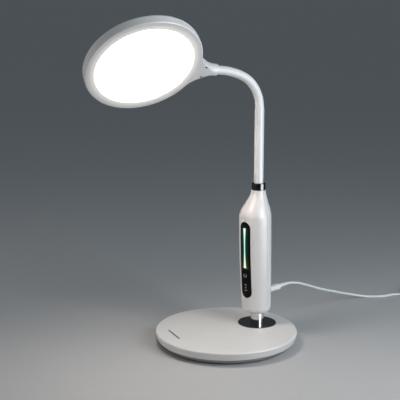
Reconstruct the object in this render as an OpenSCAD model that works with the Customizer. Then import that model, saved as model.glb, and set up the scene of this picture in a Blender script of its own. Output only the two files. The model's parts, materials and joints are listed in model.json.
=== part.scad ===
// LED desk lamp: round light head on a flexible neck, bottle-shaped column with a touch panel,
// weighted round base and a USB lead. Millimetres, +Z up, the front of the lamp towards -Y.
// The origin is the centre of the base's underside.

/* [Base] */
// Diameter of the base
base_d = 180; // [160:1:220]
// Height of the base's top above the table
base_h = 17.5; // [16.5:0.5:20]
// Height of the white rim
rim_h = 10.1; // [9.4:0.1:11]
// How far the rim leans in from its top edge to its bottom
rim_lean = 2.3; // [0:0.1:4]
// Radius of the rim's top edge
rim_edge = 2.4; // [1:0.1:3]
// Wall of the base cover
base_wall = 2.6; // [2.2:0.1:3]
// How far the bottom plate is set back from the rim where it meets the pad
plate_setback = 9; // [7:0.5:12]
// Thickness of the bottom plate's floor
plate_t = 2; // [1.6:0.1:2.4]
// Wall of the bottom plate's tray
plate_wall = 2.4; // [2:0.1:3]
// Thickness of the ballast
ballast_t = 5; // [4:0.5:6]
// Thickness of the non-slip pad
pad_t = 1.5; // [1:0.1:2]
// Distance of the base screws from the centre
base_screw_r = 62; // [56:1:66]
// Radius of a screw boss in the base
boss_r = 4; // [3.5:0.1:5]

/* [Foot] */
// Distance of the column's axis behind the base's centre
foot_y = 48; // [40:1:52]
// Diameter of the black foot plate
foot_plate_d = 49.2; // [44:0.2:54]
// Thickness of the black foot plate
foot_plate_t = 1.6; // [1.2:0.1:2]
// Depth of the foot plate's recess in the base
foot_recess = 0.8; // [0.5:0.1:1]
// Diameter of the black neck under the column
neck_d = 17.8; // [16:0.2:20]
// Height of the black neck above the foot plate
neck_h = 14; // [10:0.5:20]
// Diameter of the threaded stem under the neck
stem_d = 12; // [10:0.5:14]
// Diameter of the swivel spigot on the neck
spigot_d = 10; // [9:0.5:11]
// Turn of the column on its foot, from straight ahead
column_turn = 14; // [-45:1:45]

/* [Column] */
// Height of the column from its bottom to the collar
column_h = 160.4; // [140:0.2:180]
// Height of the shoulder below the collar
shoulder_h = 34; // [28:1:42]
// Reach of the front wall from the axis, at the bottom
front_low = 20.2; // [19.4:0.2:22]
// Reach of the front wall from the axis, at the shoulder
front_high = 26.2; // [24:0.2:28]
// Reach of the back wall from the axis, at the bottom
back_low = 17; // [16.4:0.2:18]
// Reach of the back wall from the axis, at the shoulder
back_high = 14.6; // [14.2:0.2:16]
// Radius of the column's top rim
column_top_r = 9.2; // [8.6:0.1:10]
// Radius of the column's rounded lower edge
column_round = 8; // [6:0.5:9]
// Wall of the column's shells
column_wall = 2.2; // [1.8:0.1:2.4]
// Height of the black collar
collar_h = 9; // [7:0.5:14]

/* [Touch panel] */
// Length of the black panel
panel_len = 100; // [90:1:104]
// Width of the black panel
panel_w = 16; // [14:0.5:17]
// Height of the panel's middle above the column's bottom
panel_rise = 72.4; // [70:0.2:76]
// Thickness of the panel lens
panel_t = 2; // [1.5:0.1:2.2]
// How far the lens stands proud of the shell
panel_proud = 0.3; // [0.1:0.1:0.5]
// Length of the light bar
bar_len = 52; // [44:1:54]
// Width of the light bar at its ends
bar_end_w = 5; // [4:0.2:6]
// Width of the light bar at its waist
bar_waist_w = 2.4; // [2:0.1:3.4]
// Height of the light bar's middle above the panel's middle
bar_rise = 16; // [15:0.5:18]
// Radius of a touch pad
touch_r = 3.4; // [2.5:0.1:4]

/* [Arm] */
// Outer diameter of the rigid tube
tube_d = 11.9; // [11.4:0.1:12.6]
// Bore of the rigid tube
tube_bore = 8; // [7:0.5:8.5]
// Length of the tube above the collar
tube_len = 95.2; // [80:0.2:120]
// Depth of the tube inside the column below the collar
tube_depth = 49; // [46:1:55]
// Outer diameter of the flexible neck
flex_d = 10.8; // [10:0.1:11.2]
// Radius of the flexible neck's main bend at rest
bend_r = 44; // [40:1:60]
// Angle of the main bend at rest
bend_angle = 65.4; // [55:0.2:70]
// Radius of the slack bend that follows
slack_r = 94; // [80:1:120]
// Angle of the slack bend
slack_angle = 18.2; // [10:0.2:20]
// Straight run of the neck after the bends
flex_run = 8.5; // [4:0.5:16]
// Gap between a ball and its socket
ball_gap = 0.3; // [0.25:0.05:0.4]
// Bore for the wires
wire_bore = 4; // [3:0.5:4.5]
// Turn of the arm's plane, from straight ahead
arm_turn = -1.9; // [-45:0.1:45]

/* [Head] */
// Diameter of the light head
head_d = 141.6; // [130:0.2:160]
// Thickness of the light head
head_t = 13; // [12:0.2:15]
// Width of the frame round the diffuser
frame_w = 11.1; // [9:0.1:13]
// Thickness of the frame's front
frame_t = 1.2; // [1:0.1:1.5]
// Wall of the head's shells
head_wall = 2; // [1.6:0.1:2.2]
// Radius of the frame's front edge
front_edge = 1.6; // [0.8:0.1:2]
// Radius of the back cover's edge
back_edge = 3.6; // [2.5:0.1:4.5]
// Diameter of the arm stub
stub_d = 14.6; // [13.6:0.2:16]
// Length of the arm stub beyond the disc
stub_len = 28.6; // [26:0.2:38]
// Radius of the fillets beside the stub
stub_fillet = 31; // [28:1:36]
// Spacing of the two head screws
head_screw_gap = 16; // [14:0.5:17]
// Turn of the head about its stub, from facing down
head_roll = 47.4; // [-60:0.2:60]
// Thickness of the diffuser
diffuser_t = 1.5; // [1:0.1:1.8]
// Thickness of the light guide
guide_t = 2.5; // [2:0.1:2.8]
// Thickness of the reflector
reflector_t = 0.4; // [0.3:0.1:0.6]
// Number of LED chips round the light guide
chip_count = 36; // [24:1:48]

/* [Lead] */
// Diameter of the cord
cord_d = 3.5; // [3:0.1:3.8]
// Length of the plug's moulded body
plug_len = 26; // [22:1:30]
// Width of the plug's moulded body
plug_w = 8.6; // [7.8:0.2:9.6]
// Height of the plug's moulded body
plug_h = 7.2; // [6.8:0.2:8.4]
// Length of the strain relief
relief_len = 16; // [14:1:22]
// Diameter of the strain relief at the plug
relief_d = 6; // [5.4:0.1:6.6]
// Height of the power socket above the column's bottom
socket_rise = 24; // [22:0.5:26]
// Turns of the cord in one layer of the coil
coil_turns = 3; // [2:1:4]

/* [Hidden] */

fine = 96;
eps = 0.01;
// How far a cutter runs past a face
over = 1;
// Clearances: running fit, snug fit and loose fit, all on the radius or on one face
run_fit = 0.05;
snug = 0.1;
loose = 0.3;

// Base levels
base_r = base_d / 2;
skirt_z = base_h - rim_h;
cover_under = base_h - base_wall;
cover_in_r = base_r - rim_lean - base_wall;
plate_step = 0.5;
plate_top = skirt_z + plate_t;
plate_lip_z = skirt_z - snug;
plate_lip_r = base_r - rim_lean - plate_step;
plate_r = base_r - plate_setback;
plate_floor = pad_t + plate_t;
dish_r = plate_r - plate_wall;
pad_inset = 2;
ballast_gap = 1;
ballast_r = dish_r - ballast_gap;
screw_r = 1.5;
screw_head_r = 3;
screw_head_h = 1.8;
screw_end_gap = 0.8;
boss_seat = plate_floor + screw_head_h;
pilot_r = screw_r - 0.2;
boss_angles = [45, 135, 225, 315];

// Foot levels
foot_top = base_h - foot_recess + foot_plate_t;
neck_top = foot_top + neck_h;
nut_h = 3.2;
nut_r = 9.6;
stem_end = cover_under - nut_h - 0.4;
washer_t = 0.6;
hub_z = neck_top + washer_t;
column_z = hub_z + 0.2;
floor_t = 7.5;
floor_top = column_z + floor_t;
spigot_top = floor_top + snug;
retainer_t = 1.2;
retainer_r = 9;
pin_r = 2;
pin_len = 14;
pin_head_r = 3.6;
pin_head_h = 2.4;

// Column levels and outline
column_top = column_z + column_h;
shoulder_z = column_top - shoulder_h;
round_z = column_z + column_round;
panel_z = column_z + panel_rise;
bar_z = panel_z + bar_rise;
socket_z = column_z + socket_rise;
seam = 0.2;

function clamp01(t) = min(1, max(0, t));
function ease(t) = t * t * (3 - 2 * t);
function rise(z) = clamp01((z - round_z) / (shoulder_z - round_z));
function fall(z) = ease(clamp01((z - shoulder_z) / shoulder_h));
// Reach of the front and back walls from the axis at height z
function front_body(z) = front_high - (front_high - front_low) * pow(1 - rise(z), 2);
function front_at(z) = front_body(z) + (column_top_r - front_high) * fall(z);
function back_body(z) = back_low + (back_high - back_low) * rise(z);
function back_at(z) = back_body(z) + (column_top_r - back_high) * fall(z);
// Each level is a circle: its radius and the place of its centre
function level_r(z) = (front_at(z) + back_at(z)) / 2;
function level_y(z) = (back_at(z) - front_at(z)) / 2;

// Lower edge, then walls, then shoulder: [outer radius, outer z, inner radius, inner z, centre y]
round_steps = 6;
wall_steps = 7;
shoulder_steps = 12;
function edge_level(a) = [
    level_r(round_z) - column_round * (1 - sin(a)), round_z - column_round * cos(a),
    level_r(round_z) - column_round + (column_round - column_wall) * sin(a),
    round_z - (column_round - column_wall) * cos(a), level_y(round_z)];
function wall_level(z) = [level_r(z), z, level_r(z) - column_wall, z, level_y(z)];
shell_levels = concat(
    [for (i = [0 : round_steps]) edge_level(90 * i / round_steps)],
    [for (i = [1 : wall_steps]) wall_level(round_z + (shoulder_z - round_z) * i / wall_steps)],
    [for (i = [1 : shoulder_steps]) wall_level(shoulder_z + shoulder_h * i / shoulder_steps)]);

// One level of a shell piece between two angles, counted from the front
function arc_point(r, a, y, z) = [r * sin(a), y - r * cos(a), z];
function shell_ring(v, a0, a1, n) = concat(
    [for (i = [0 : n]) arc_point(v[0], a0 + (a1 - a0) * i / n, v[4], v[1])],
    [for (i = [n : -1 : 0]) arc_point(v[2], a0 + (a1 - a0) * i / n, v[4], v[3])]);

// Joins rings of equal count into triangles, with both ends closed
function side_faces(rings, m) = [for (i = [0 : rings - 2], k = [0 : m - 1], h = [0, 1])
    let (a = i * m + k, b = i * m + (k + 1) % m, c = a + m, d = b + m)
    h == 0 ? [a, c, b] : [b, c, d]];
function fan(first, m) = [for (k = [1 : m - 2]) [first, first + k, first + k + 1]];
function strip(first, n) = [for (k = [0 : n - 1], h = [0, 1])
    let (a = first + k, b = a + 1, d = first + 2 * n + 1 - k, c = d - 1)
    h == 0 ? [a, b, c] : [a, c, d]];
function flip(faces) = [for (f = faces) [f[2], f[1], f[0]]];
function joined(rings) = [for (r = rings, q = r) q];

module shell_piece(levels, a0, a1, n) {
    rings = [for (v = levels) shell_ring(v, a0, a1, n)];
    m = 2 * n + 2;
    last = (len(rings) - 1) * m;
    polyhedron(joined(rings), concat(side_faces(len(rings), m), strip(0, n), flip(strip(last, n))));
}

// Panel strip that follows the front wall, from a proud face to a depth below it
panel_steps = 10;
panel_half_angle = 32;
panel_cut = [-front_high - 5, -8];
function panel_level(z, depth) = let (face = level_r(z) + panel_proud)
    [face, z, face - depth, z, level_y(z)];
module panel_strip(depth) {
    low = panel_z - panel_len / 2 - over;
    span = panel_len + 2 * over;
    levels = [for (i = [0 : panel_steps]) panel_level(low + span * i / panel_steps, depth)];
    shell_piece(levels, -panel_half_angle, panel_half_angle, panel_steps);
}

// Board behind the panel
board_t = 1.6;
board_w = panel_w;
board_len = panel_len - 8;
board_y = -15.2;
led_t = 1;

// Arm: joints stand evenly along the neck, from the tube's top to the stub
tube_r = tube_d / 2;
tube_top = column_top + collar_h + tube_len;
flex_r = flex_d / 2;
skirt = 2.4;
first_joint = 2;
link_count = 9;
bend_len = bend_r * bend_angle * PI / 180;
slack_len = slack_r * slack_angle * PI / 180;
neck_lean = bend_angle + slack_angle;
last_joint = bend_len + slack_len + flex_run - skirt;
joint_pitch = (last_joint - first_joint) / link_count;
clamp_r = back_high - column_wall - loose;
clamp_h = 12;
root_depth = 12;

// Point on the neck's line at distance s from the tube's top, in the arm's own plane
function turned(r, a0, a1) = r * [0, cos(a1) - cos(a0), sin(a1) - sin(a0)];
function degrees(len, r) = len / r * 180 / PI;
bend_from = [0, 0, tube_top];
bend_to = bend_from + turned(bend_r, 0, bend_angle);
slack_to = bend_to + turned(slack_r, bend_angle, neck_lean);
neck_dir = [0, -sin(neck_lean), cos(neck_lean)];
function slack_point(s) = bend_to + turned(slack_r, bend_angle, bend_angle + degrees(s, slack_r));
function neck_point(s) =
    s <= bend_len ? bend_from + turned(bend_r, 0, degrees(s, bend_r)) :
    s <= bend_len + slack_len ? slack_point(s - bend_len) :
    slack_to + (s - bend_len - slack_len) * neck_dir;
joints = [for (k = [0 : link_count]) neck_point(first_joint + k * joint_pitch)];

// Head: its own frame has the stub along +X, the light along -Z and the front face at Z = 0
head_r = head_d / 2;
window_r = head_r - frame_w;
stub_r = stub_d / 2;
head_mid = head_t / 2;
cavity_r = head_r - head_wall;
mouth_x = head_r + stub_len;
head_reach = mouth_x + skirt;
head_centre = joints[link_count] + head_reach * neck_dir;
// The fillets touch the disc and the stub, and end before the stub's mouth
fillet_room = (pow(mouth_x - 1, 2) - pow(head_r, 2) + pow(stub_r, 2)) / (2 * (head_r - stub_r));
fillet_r = min(stub_fillet, fillet_room);
fillet_x = sqrt(pow(head_r + fillet_r, 2) - pow(stub_r + fillet_r, 2));
fillet_y = stub_r + fillet_r;
web_x = head_r * fillet_x / (head_r + fillet_r);
web_y = head_r * fillet_y / (head_r + fillet_r);
web_inset = 0.8;
strip_t = 0.5;
chip_t = 1.2;
chip_w = 3;
chip_h = 2.2;
strip_r = cavity_r - snug;
chip_r = strip_r - strip_t - snug;
guide_r = chip_r - chip_t - loose;
guide_z = frame_t + diffuser_t;
reflector_z = guide_z + guide_t;
strip_edge = 0.4;
strip_z = guide_z + (guide_t - chip_h) / 2 - strip_edge;
strip_h = chip_h + 2 * strip_edge;
chip_z = strip_z + (strip_h - chip_h) / 2;
back_rib_r = 40;
back_rib_t = 1.6;
head_screw_out = 8.2;
head_screw_x = head_r + head_screw_out;
head_screw_r = 0.9;
head_screw_head_r = 1.5;
head_screw_head_h = 1.4;
head_screw_z = 1.6;
head_screw_end = head_t - 3;

// Lead: the socket faces the column's back, the cord lies out to a coil with its plug beside it
cord_r = cord_d / 2;
cord_sides = 8;
plug_gap = 0.5;
plug_y = back_at(socket_z) + plug_gap;
plug_tip_r = 2.7;
plug_tip_len = 8;
plug_edge = 2.2;
relief_end = 0.4;
relief_y = plug_y + plug_len;
cord_y = relief_y + relief_len + loose;
cord_out = [-cord_y * sin(column_turn), foot_y + cord_y * cos(column_turn), socket_z];
tie_t = 1;
coil_air = 0.5;
coil_pitch = cord_d + coil_air;
coil_in = 14.5;
coil_out = coil_in + coil_pitch * coil_turns;
coil_c = [-20.5, 364.5];
coil_a = -32;
coil_low = tie_t + loose + cord_r;
coil_rings = 24;
coil_sides = 6;

// Turns from the outer edge in, up a layer in the half turn about the middle, and out again
coil_all = 2 * coil_turns;
function coil_radius(t) = coil_in + coil_pitch * abs(t - coil_turns);
function coil_climb(t) = clamp01((t - coil_turns + 0.25) / 0.5);
function coil_point(t) = [
    coil_c[0] + coil_radius(t) * cos(coil_a + 360 * t),
    coil_c[1] + coil_radius(t) * sin(coil_a + 360 * t),
    coil_low + coil_pitch * coil_climb(t)];
coil_dir = [-sin(coil_a), cos(coil_a), 0];
coil_first = coil_point(0);
coil_last = coil_point(coil_all);
coil_path = concat(
    [coil_first - cord_d * coil_dir],
    [for (i = [0 : coil_all * coil_rings]) coil_point(i / coil_rings)],
    [coil_last + cord_d * coil_dir]);

// Least gap between one stretch of the coil and another, half a turn or more along
coil_gap = min([for (i = [1 : 2 : len(coil_path) - 2], j = [i + coil_rings / 2 : 2 : len(coil_path) - 2])
    norm(coil_path[i] - coil_path[j])]) - cord_d;
echo(coil_gap = coil_gap);

// The free stretch, from the relief down to the table and along it to the coil
lead_points = concat([cord_out], [
    [-17, 116, 56], [-20, 126, 53.5], [-23, 136, 50.5], [-26, 146, 46.5], [-29, 156, 42.5],
    [-32, 167, 38], [-35, 178, 33.5], [-38, 189, 29.5], [-41, 200, 25.5], [-43.5, 211, 22],
    [-46.5, 223, 17.5], [-49.5, 235, 13.5], [-52, 248, 9.5], [-52, 260, 6], [-49.5, 271, 3.2],
    [-45.5, 281, 1.8], [-39.5, 290, 1.8], [-35.5, 300, 1.8], [-34.5, 311, 1.8], [-32.5, 322, 1.8],
    [-27, 330, 1.8], [-19, 334.5, 2], [-10.5, 337.5, 2.4], [-4, 341.5, 2.8]
], [coil_path[0]]);

// USB plug, which lies on the table
usb_len = 22;
usb_w = 15.6;
usb_h = 8;
usb_edge = 2.4;
shell_len = 18;
shell_w = 12;
shell_h = 4.5;
shell_t = 0.4;
shell_bore = [shell_w - 2 * shell_t, shell_h - 2 * shell_t];
tongue_t = 1.8;

// Short stretch from the coil's top layer down to the USB plug
tail_end = [coil_last[0] + 17, coil_last[1] + 27, usb_h / 2];
tail_points = [
    coil_path[len(coil_path) - 1], coil_last + [4.5, 7.2, -0.3], coil_last + [8, 12.8, -1.2],
    coil_last + [11.5, 18.4, -2.3], coil_last + [14.5, 23.2, -2.9], tail_end];
tail_dir = tail_end - tail_points[len(tail_points) - 2];
usb_turn = atan2(tail_dir[1], tail_dir[0]);

// Tube swept along points, with flat ends
function unit(v) = v / norm(v);
function heading(p, i) = unit(p[min(i + 1, len(p) - 1)] - p[max(i - 1, 0)]);
function tube_ring(c, t, r, n) = let (s = unit(cross(t, [0, 0, 1])), v = cross(s, t))
    [for (k = [0 : n - 1]) c + r * (cos(360 * k / n) * s + sin(360 * k / n) * v)];
module swept_tube(p, r, n) {
    rings = [for (i = [0 : len(p) - 1]) tube_ring(p[i], heading(p, i), r, n)];
    last = (len(p) - 1) * n;
    polyhedron(joined(rings), concat(side_faces(len(p), n), fan(0, n), flip(fan(last, n))));
}

// Frames of the moving groups
module at_foot() translate([0, foot_y, 0]) children();
module at_column() at_foot() rotate([0, 0, column_turn]) children();
module at_arm() at_foot() rotate([0, 0, arm_turn]) children();
module at_head() at_arm() translate(head_centre) rotate([neck_lean - 90, 0, 0]) rotate([0, 0, 90])
    rotate([-head_roll, 0, 0]) translate([0, 0, -head_mid]) children();
module at_usb() translate(tail_end) rotate([0, 0, usb_turn]) children();

// Shapes that repeat
module rod(r, z0, z1) translate([0, 0, z0]) cylinder(r = r, h = z1 - z0, $fn = fine);
module ring(r_out, r_in, z0, z1) difference() {
    rod(r_out, z0, z1);
    rod(r_in, z0 - over, z1 + over);
}
module at_bosses() for (a = boss_angles) rotate([0, 0, a]) translate([base_screw_r, 0, 0]) children();
module along_y(y0, y1) translate([0, y1, 0]) rotate([90, 0, 0]) linear_extrude(y1 - y0) children();
module along_x(x0, x1) translate([x0, 0, 0]) rotate([90, 0, 90]) linear_extrude(x1 - x0) children();
module rounded(w, h, r) {
    square([w - 2 * r, h], center = true);
    square([w, h - 2 * r], center = true);
    for (x = [-1, 1], y = [-1, 1]) translate([x * (w / 2 - r), y * (h / 2 - r)]) circle(r, $fn = fine);
}
module pill(len, w) {
    square([w, len - w], center = true);
    for (s = [-1, 1]) translate([0, s * (len - w) / 2]) circle(d = w, $fn = fine);
}
// Bar with a waist: two large circles cut its sides
module waisted_bar(grow) {
    dip = (bar_end_w - bar_waist_w) / 2;
    side_r = (pow(bar_len / 2, 2) + pow(dip, 2)) / (2 * dip);
    side_x = bar_waist_w / 2 + side_r;
    difference() {
        square([bar_end_w + 2 * grow, bar_len + 2 * grow], center = true);
        for (s = [-1, 1]) translate([s * side_x, 0]) circle(side_r - grow, $fn = 4 * fine);
    }
}

// Base: the rim's side runs from its foot to where it touches the edge's circle
rim_foot = [base_r - rim_lean, 0];
edge_c = [base_r - rim_edge, rim_h - rim_edge];
to_edge = edge_c - rim_foot;
side_angle = atan2(to_edge[1], to_edge[0]) - asin(rim_edge / norm(to_edge));
side_len = sqrt(pow(norm(to_edge), 2) - pow(rim_edge, 2));
side_touch = rim_foot + side_len * [cos(side_angle), sin(side_angle)];
module rim_profile() difference() {
    union() {
        square([edge_c[0], rim_h]);
        polygon([[0, 0], rim_foot, side_touch, edge_c, [0, edge_c[1]]]);
        translate(edge_c) circle(rim_edge, $fn = fine);
    }
    translate([-over, -over]) square([cover_in_r + over, rim_h - base_wall + over]);
}

module base_cover() color("white") difference() {
    union() {
        translate([0, 0, skirt_z]) rotate_extrude($fn = fine) rim_profile();
        at_bosses() rod(boss_r, boss_seat, cover_under + eps);
    }
    at_foot() rod(foot_plate_d / 2 + snug, base_h - foot_recess, base_h + over);
    at_foot() rod(stem_d / 2 + snug, cover_under - over, base_h + over);
    at_bosses() rod(pilot_r, boss_seat - over, cover_under - screw_end_gap / 2);
}

module base_plate() color("dimgray") difference() {
    union() {
        translate([0, 0, pad_t])
            cylinder(r1 = plate_r, r2 = plate_lip_r, h = plate_lip_z - pad_t, $fn = fine);
        rod(cover_in_r - loose, plate_lip_z - eps, plate_top);
    }
    difference() {
        rod(dish_r, plate_floor, plate_top + over);
        at_bosses() rod(boss_r, plate_floor - over, boss_seat);
    }
    at_bosses() rod(screw_r + snug, pad_t - over, plate_top + over);
    at_bosses() rod(screw_head_r + snug, pad_t - over, pad_t + screw_head_h);
}

module base_pad() color("black") rod(plate_r - pad_inset, 0, pad_t);

module ballast() color("gray") difference() {
    rod(ballast_r, plate_floor, plate_floor + ballast_t);
    at_bosses() rod(boss_r + loose, plate_floor - over, cover_under);
}

module base_screws() color("silver") at_bosses() {
    rod(screw_head_r, pad_t, pad_t + screw_head_h - eps);
    rod(pilot_r - run_fit, pad_t + screw_head_h / 2, cover_under - screw_end_gap);
}

// Foot
module foot_plate() color([0.03, 0.03, 0.03]) at_foot()
    ring(foot_plate_d / 2, stem_d / 2 + snug, base_h - foot_recess, foot_top);

module foot_neck() color([0.08, 0.08, 0.08]) at_foot() difference() {
    union() {
        rod(neck_d / 2, foot_top, neck_top);
        rod(stem_d / 2, stem_end, foot_top + eps);
        rod(spigot_d / 2, neck_top - eps, spigot_top);
    }
    rod(pin_r, spigot_top - pin_len, spigot_top + over);
}

module neck_nut() color("silver") at_foot() difference() {
    translate([0, 0, cover_under - nut_h]) cylinder(r = nut_r, h = nut_h, $fn = 6);
    rod(stem_d / 2 + run_fit, cover_under - nut_h - over, cover_under + over);
}

module retaining_washer() color("silver") at_foot()
    ring(retainer_r, pin_r + snug, spigot_top, spigot_top + retainer_t);

module swivel_screw() color("silver") at_foot() {
    rod(pin_r - run_fit, spigot_top - pin_len + 1, spigot_top + retainer_t + eps);
    rod(pin_head_r, spigot_top + retainer_t, spigot_top + retainer_t + pin_head_h);
}

module swivel_washer() color("ivory") at_foot()
    ring(neck_d / 2 - loose, spigot_d / 2 + loose, neck_top, hub_z);

// Column
opening_r = level_r(round_z) - column_round;
flange_w = 2.2;
flange_z = column_z + column_wall + 0.7;
module column_floor() color("lightgray") at_column() difference() {
    translate([0, level_y(round_z), 0]) {
        rod(opening_r - snug, hub_z, flange_z + loose);
        rod(opening_r + flange_w, flange_z, floor_top);
    }
    rod(spigot_d / 2 + run_fit, hub_z - over, floor_top + over);
}

// Ribs beside the board tie it to the front shell
rib_w = 3;
rib_h = 6;
rib_x = board_w / 2 + run_fit;
rib_back = board_y + 2 * board_t;
rib_levels = [panel_z - board_len / 2 + 4, panel_z + board_len / 2 - 10];
function rib_front(z) = level_y(z) - sqrt(pow(level_r(z) - column_wall / 2, 2) - pow(rib_x + rib_w, 2));
module board_ribs() for (z = rib_levels, s = [-1, 1])
    translate([s * (rib_x + rib_w / 2) - rib_w / 2, rib_front(z), z])
        cube([rib_w, rib_back - rib_front(z), rib_h]);

module panel_cutter() along_y(panel_cut[0], panel_cut[1]) children();

module column_front() color("white") at_column() {
    difference() {
        shell_piece(shell_levels, -90 + seam, 90 - seam, 16);
        translate([0, 0, panel_z]) panel_cutter() pill(panel_len + 2 * snug, panel_w + 2 * snug);
    }
    board_ribs();
}

module column_back() color("white") at_column() difference() {
    shell_piece(shell_levels, 90 + seam, 270 - seam, 16);
    translate([0, 0, socket_z]) along_y(5, back_low + 5) circle(socket_nose_r + snug, $fn = fine);
}

module panel_lens() color([0.02, 0.02, 0.02]) at_column() difference() {
    intersection() {
        panel_strip(panel_t);
        translate([0, 0, panel_z]) panel_cutter() pill(panel_len, panel_w);
    }
    translate([0, 0, bar_z]) panel_cutter() waisted_bar(run_fit);
}

bar_depth = 5;
module light_bar() color([0.6, 1, 0.9]) at_column() intersection() {
    panel_strip(bar_depth);
    translate([0, 0, bar_z]) panel_cutter() waisted_bar(0);
}

touch_levels = [panel_z - 20, panel_z - 36];
touch_gap = 0.6;
function touch_front(z) = panel_t + touch_gap - front_at(z) - panel_proud;
module touch_pads() color("gold") at_column() for (z = touch_levels)
    translate([0, 0, z]) along_y(touch_front(z), board_y) circle(touch_r, $fn = fine);

module control_board() color("darkgreen") at_column()
    translate([-board_w / 2, board_y, panel_z - board_len / 2]) cube([board_w, board_t, board_len]);

led_count = 5;
led_w = 3;
led_low = bar_z - bar_len / 2 + led_w;
led_pitch = (bar_len - 3 * led_w) / (led_count - 1);
module mood_leds() color("lightyellow") at_column() for (i = [0 : led_count - 1])
    translate([-led_w / 2, board_y - led_t, led_low + led_pitch * i]) cube([led_w, led_t, led_w]);

socket_nose_r = 4;
socket_box = [10, 11, 11];
socket_gap = 0.9;
module power_socket() color("black") at_column() translate([0, 0, socket_z]) difference() {
    union() {
        inner = back_at(socket_z) - column_wall - socket_gap;
        translate([-socket_box[0] / 2, inner - socket_box[1], -socket_box[2] / 2]) cube(socket_box);
        along_y(inner - eps, plug_y - loose) circle(socket_nose_r, $fn = fine);
    }
    along_y(plug_y - plug_tip_len - over, plug_y + over) circle(plug_tip_r + snug, $fn = fine);
}

// Arm
module collar() color([0.08, 0.08, 0.08]) at_foot()
    ring(neck_d / 2, tube_r + run_fit, column_top, column_top + collar_h);

module arm_tube() color("white") at_foot() ring(tube_r, tube_bore / 2, column_top - tube_depth, tube_top);

clamp_rise = 2;
clamp_z = column_top - tube_depth + clamp_rise;
module tube_clamp() color("gray") at_column() difference() {
    rod(clamp_r, clamp_z, clamp_z + clamp_h);
    rod(tube_r + run_fit, clamp_z - over, clamp_z + clamp_h + over);
    translate([0, 0, clamp_z + clamp_h / 2]) along_y(-clamp_r - over, 0)
        circle(screw_r + run_fit, $fn = fine);
}

module clamp_screw() color("silver") at_column() translate([0, 0, clamp_z + clamp_h / 2])
    along_y(-clamp_r, -tube_r - run_fit) circle(screw_r, $fn = fine);

module neck_root() color("whitesmoke") at_arm() difference() {
    union() {
        rod(tube_bore / 2 - run_fit, tube_top - root_depth, tube_top + eps);
        rod(flex_r, tube_top, tube_top + first_joint);
        intersection() {
            translate(joints[0]) sphere(flex_r, $fn = fine);
            rod(2 * flex_r, tube_top, tube_top + 2 * flex_r);
        }
    }
    rod(wire_bore / 2, tube_top - root_depth - over, tube_top + first_joint + flex_r + over);
}

// One link: a socket round the ball below, a straight barrel and a ball at its upper end
module neck_link(k) color("whitesmoke") at_arm() {
    a = joints[k - 1];
    b = joints[k];
    lean = atan2(a[1] - b[1], b[2] - a[2]);
    span = norm(b - a);
    translate(a) rotate([lean, 0, 0]) difference() {
        union() {
            rod(flex_r, skirt, span);
            translate([0, 0, span]) sphere(flex_r, $fn = fine);
        }
        sphere(flex_r + ball_gap, $fn = fine);
        rod(wire_bore / 2, 0, span + flex_r + over);
    }
}

// Head
module web_outline() difference() {
    polygon([[web_x, web_y], [fillet_x, stub_r], [fillet_x, -stub_r], [web_x, -web_y]]);
    for (s = [-1, 1]) translate([fillet_x, s * fillet_y]) circle(fillet_r, $fn = 2 * fine);
}
module stub_half(up) intersection() {
    along_x(web_x, mouth_x) translate([0, head_mid]) circle(stub_r, $fn = fine);
    translate([0, -stub_d, up ? head_mid : head_mid - stub_d]) cube([2 * mouth_x, 2 * stub_d, stub_d]);
}
module ball_seat() translate([head_reach, 0, head_mid]) sphere(flex_r + ball_gap, $fn = fine);
module wire_way() along_x(guide_r, head_reach) translate([0, head_mid])
    circle(d = wire_bore, $fn = fine);
module at_head_screws() for (s = [-1, 1]) translate([head_screw_x, s * head_screw_gap / 2, 0]) children();

module frame_profile() difference() {
    union() {
        translate([window_r, 0]) square([frame_w - front_edge, head_mid]);
        translate([window_r, front_edge]) square([frame_w, head_mid - front_edge]);
        translate([head_r - front_edge, front_edge]) circle(front_edge, $fn = fine);
    }
    translate([window_r - over, frame_t]) square([frame_w - head_wall + over, head_mid]);
}

module head_frame() color("white") at_head() difference() {
    union() {
        rotate_extrude($fn = 2 * fine) frame_profile();
        difference() {
            union() {
                translate([0, 0, web_inset]) linear_extrude(head_mid - web_inset) web_outline();
                stub_half(false);
            }
            rod(cavity_r + eps, -stub_r, head_mid + over);
        }
    }
    ball_seat();
    wire_way();
    at_head_screws() rod(head_screw_head_r + snug, -stub_r, head_screw_z + head_screw_head_h);
    at_head_screws() rod(head_screw_r + 2 * snug, -stub_r, head_mid + over);
}

module back_profile() difference() {
    intersection() {
        union() {
            square([head_r - back_edge, head_t]);
            square([head_r, head_t - back_edge]);
            translate([head_r - back_edge, head_t - back_edge]) circle(back_edge, $fn = fine);
        }
        translate([0, head_mid]) square([head_r, head_mid]);
    }
    translate([-over, head_mid - over]) square([cavity_r + over, head_mid - head_wall + over]);
}

module head_back() color("white") at_head() difference() {
    union() {
        rotate_extrude($fn = 2 * fine) back_profile();
        ring(back_rib_r + back_rib_t, back_rib_r, reflector_z + reflector_t, head_t - head_wall + eps);
        difference() {
            union() {
                translate([0, 0, head_mid]) linear_extrude(head_mid - web_inset) web_outline();
                stub_half(true);
            }
            rod(cavity_r + eps, head_mid - over, head_t - head_wall);
        }
    }
    ball_seat();
    wire_way();
    at_head_screws() rod(head_screw_r + run_fit, head_mid - over, head_screw_end + over / 2);
}

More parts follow.
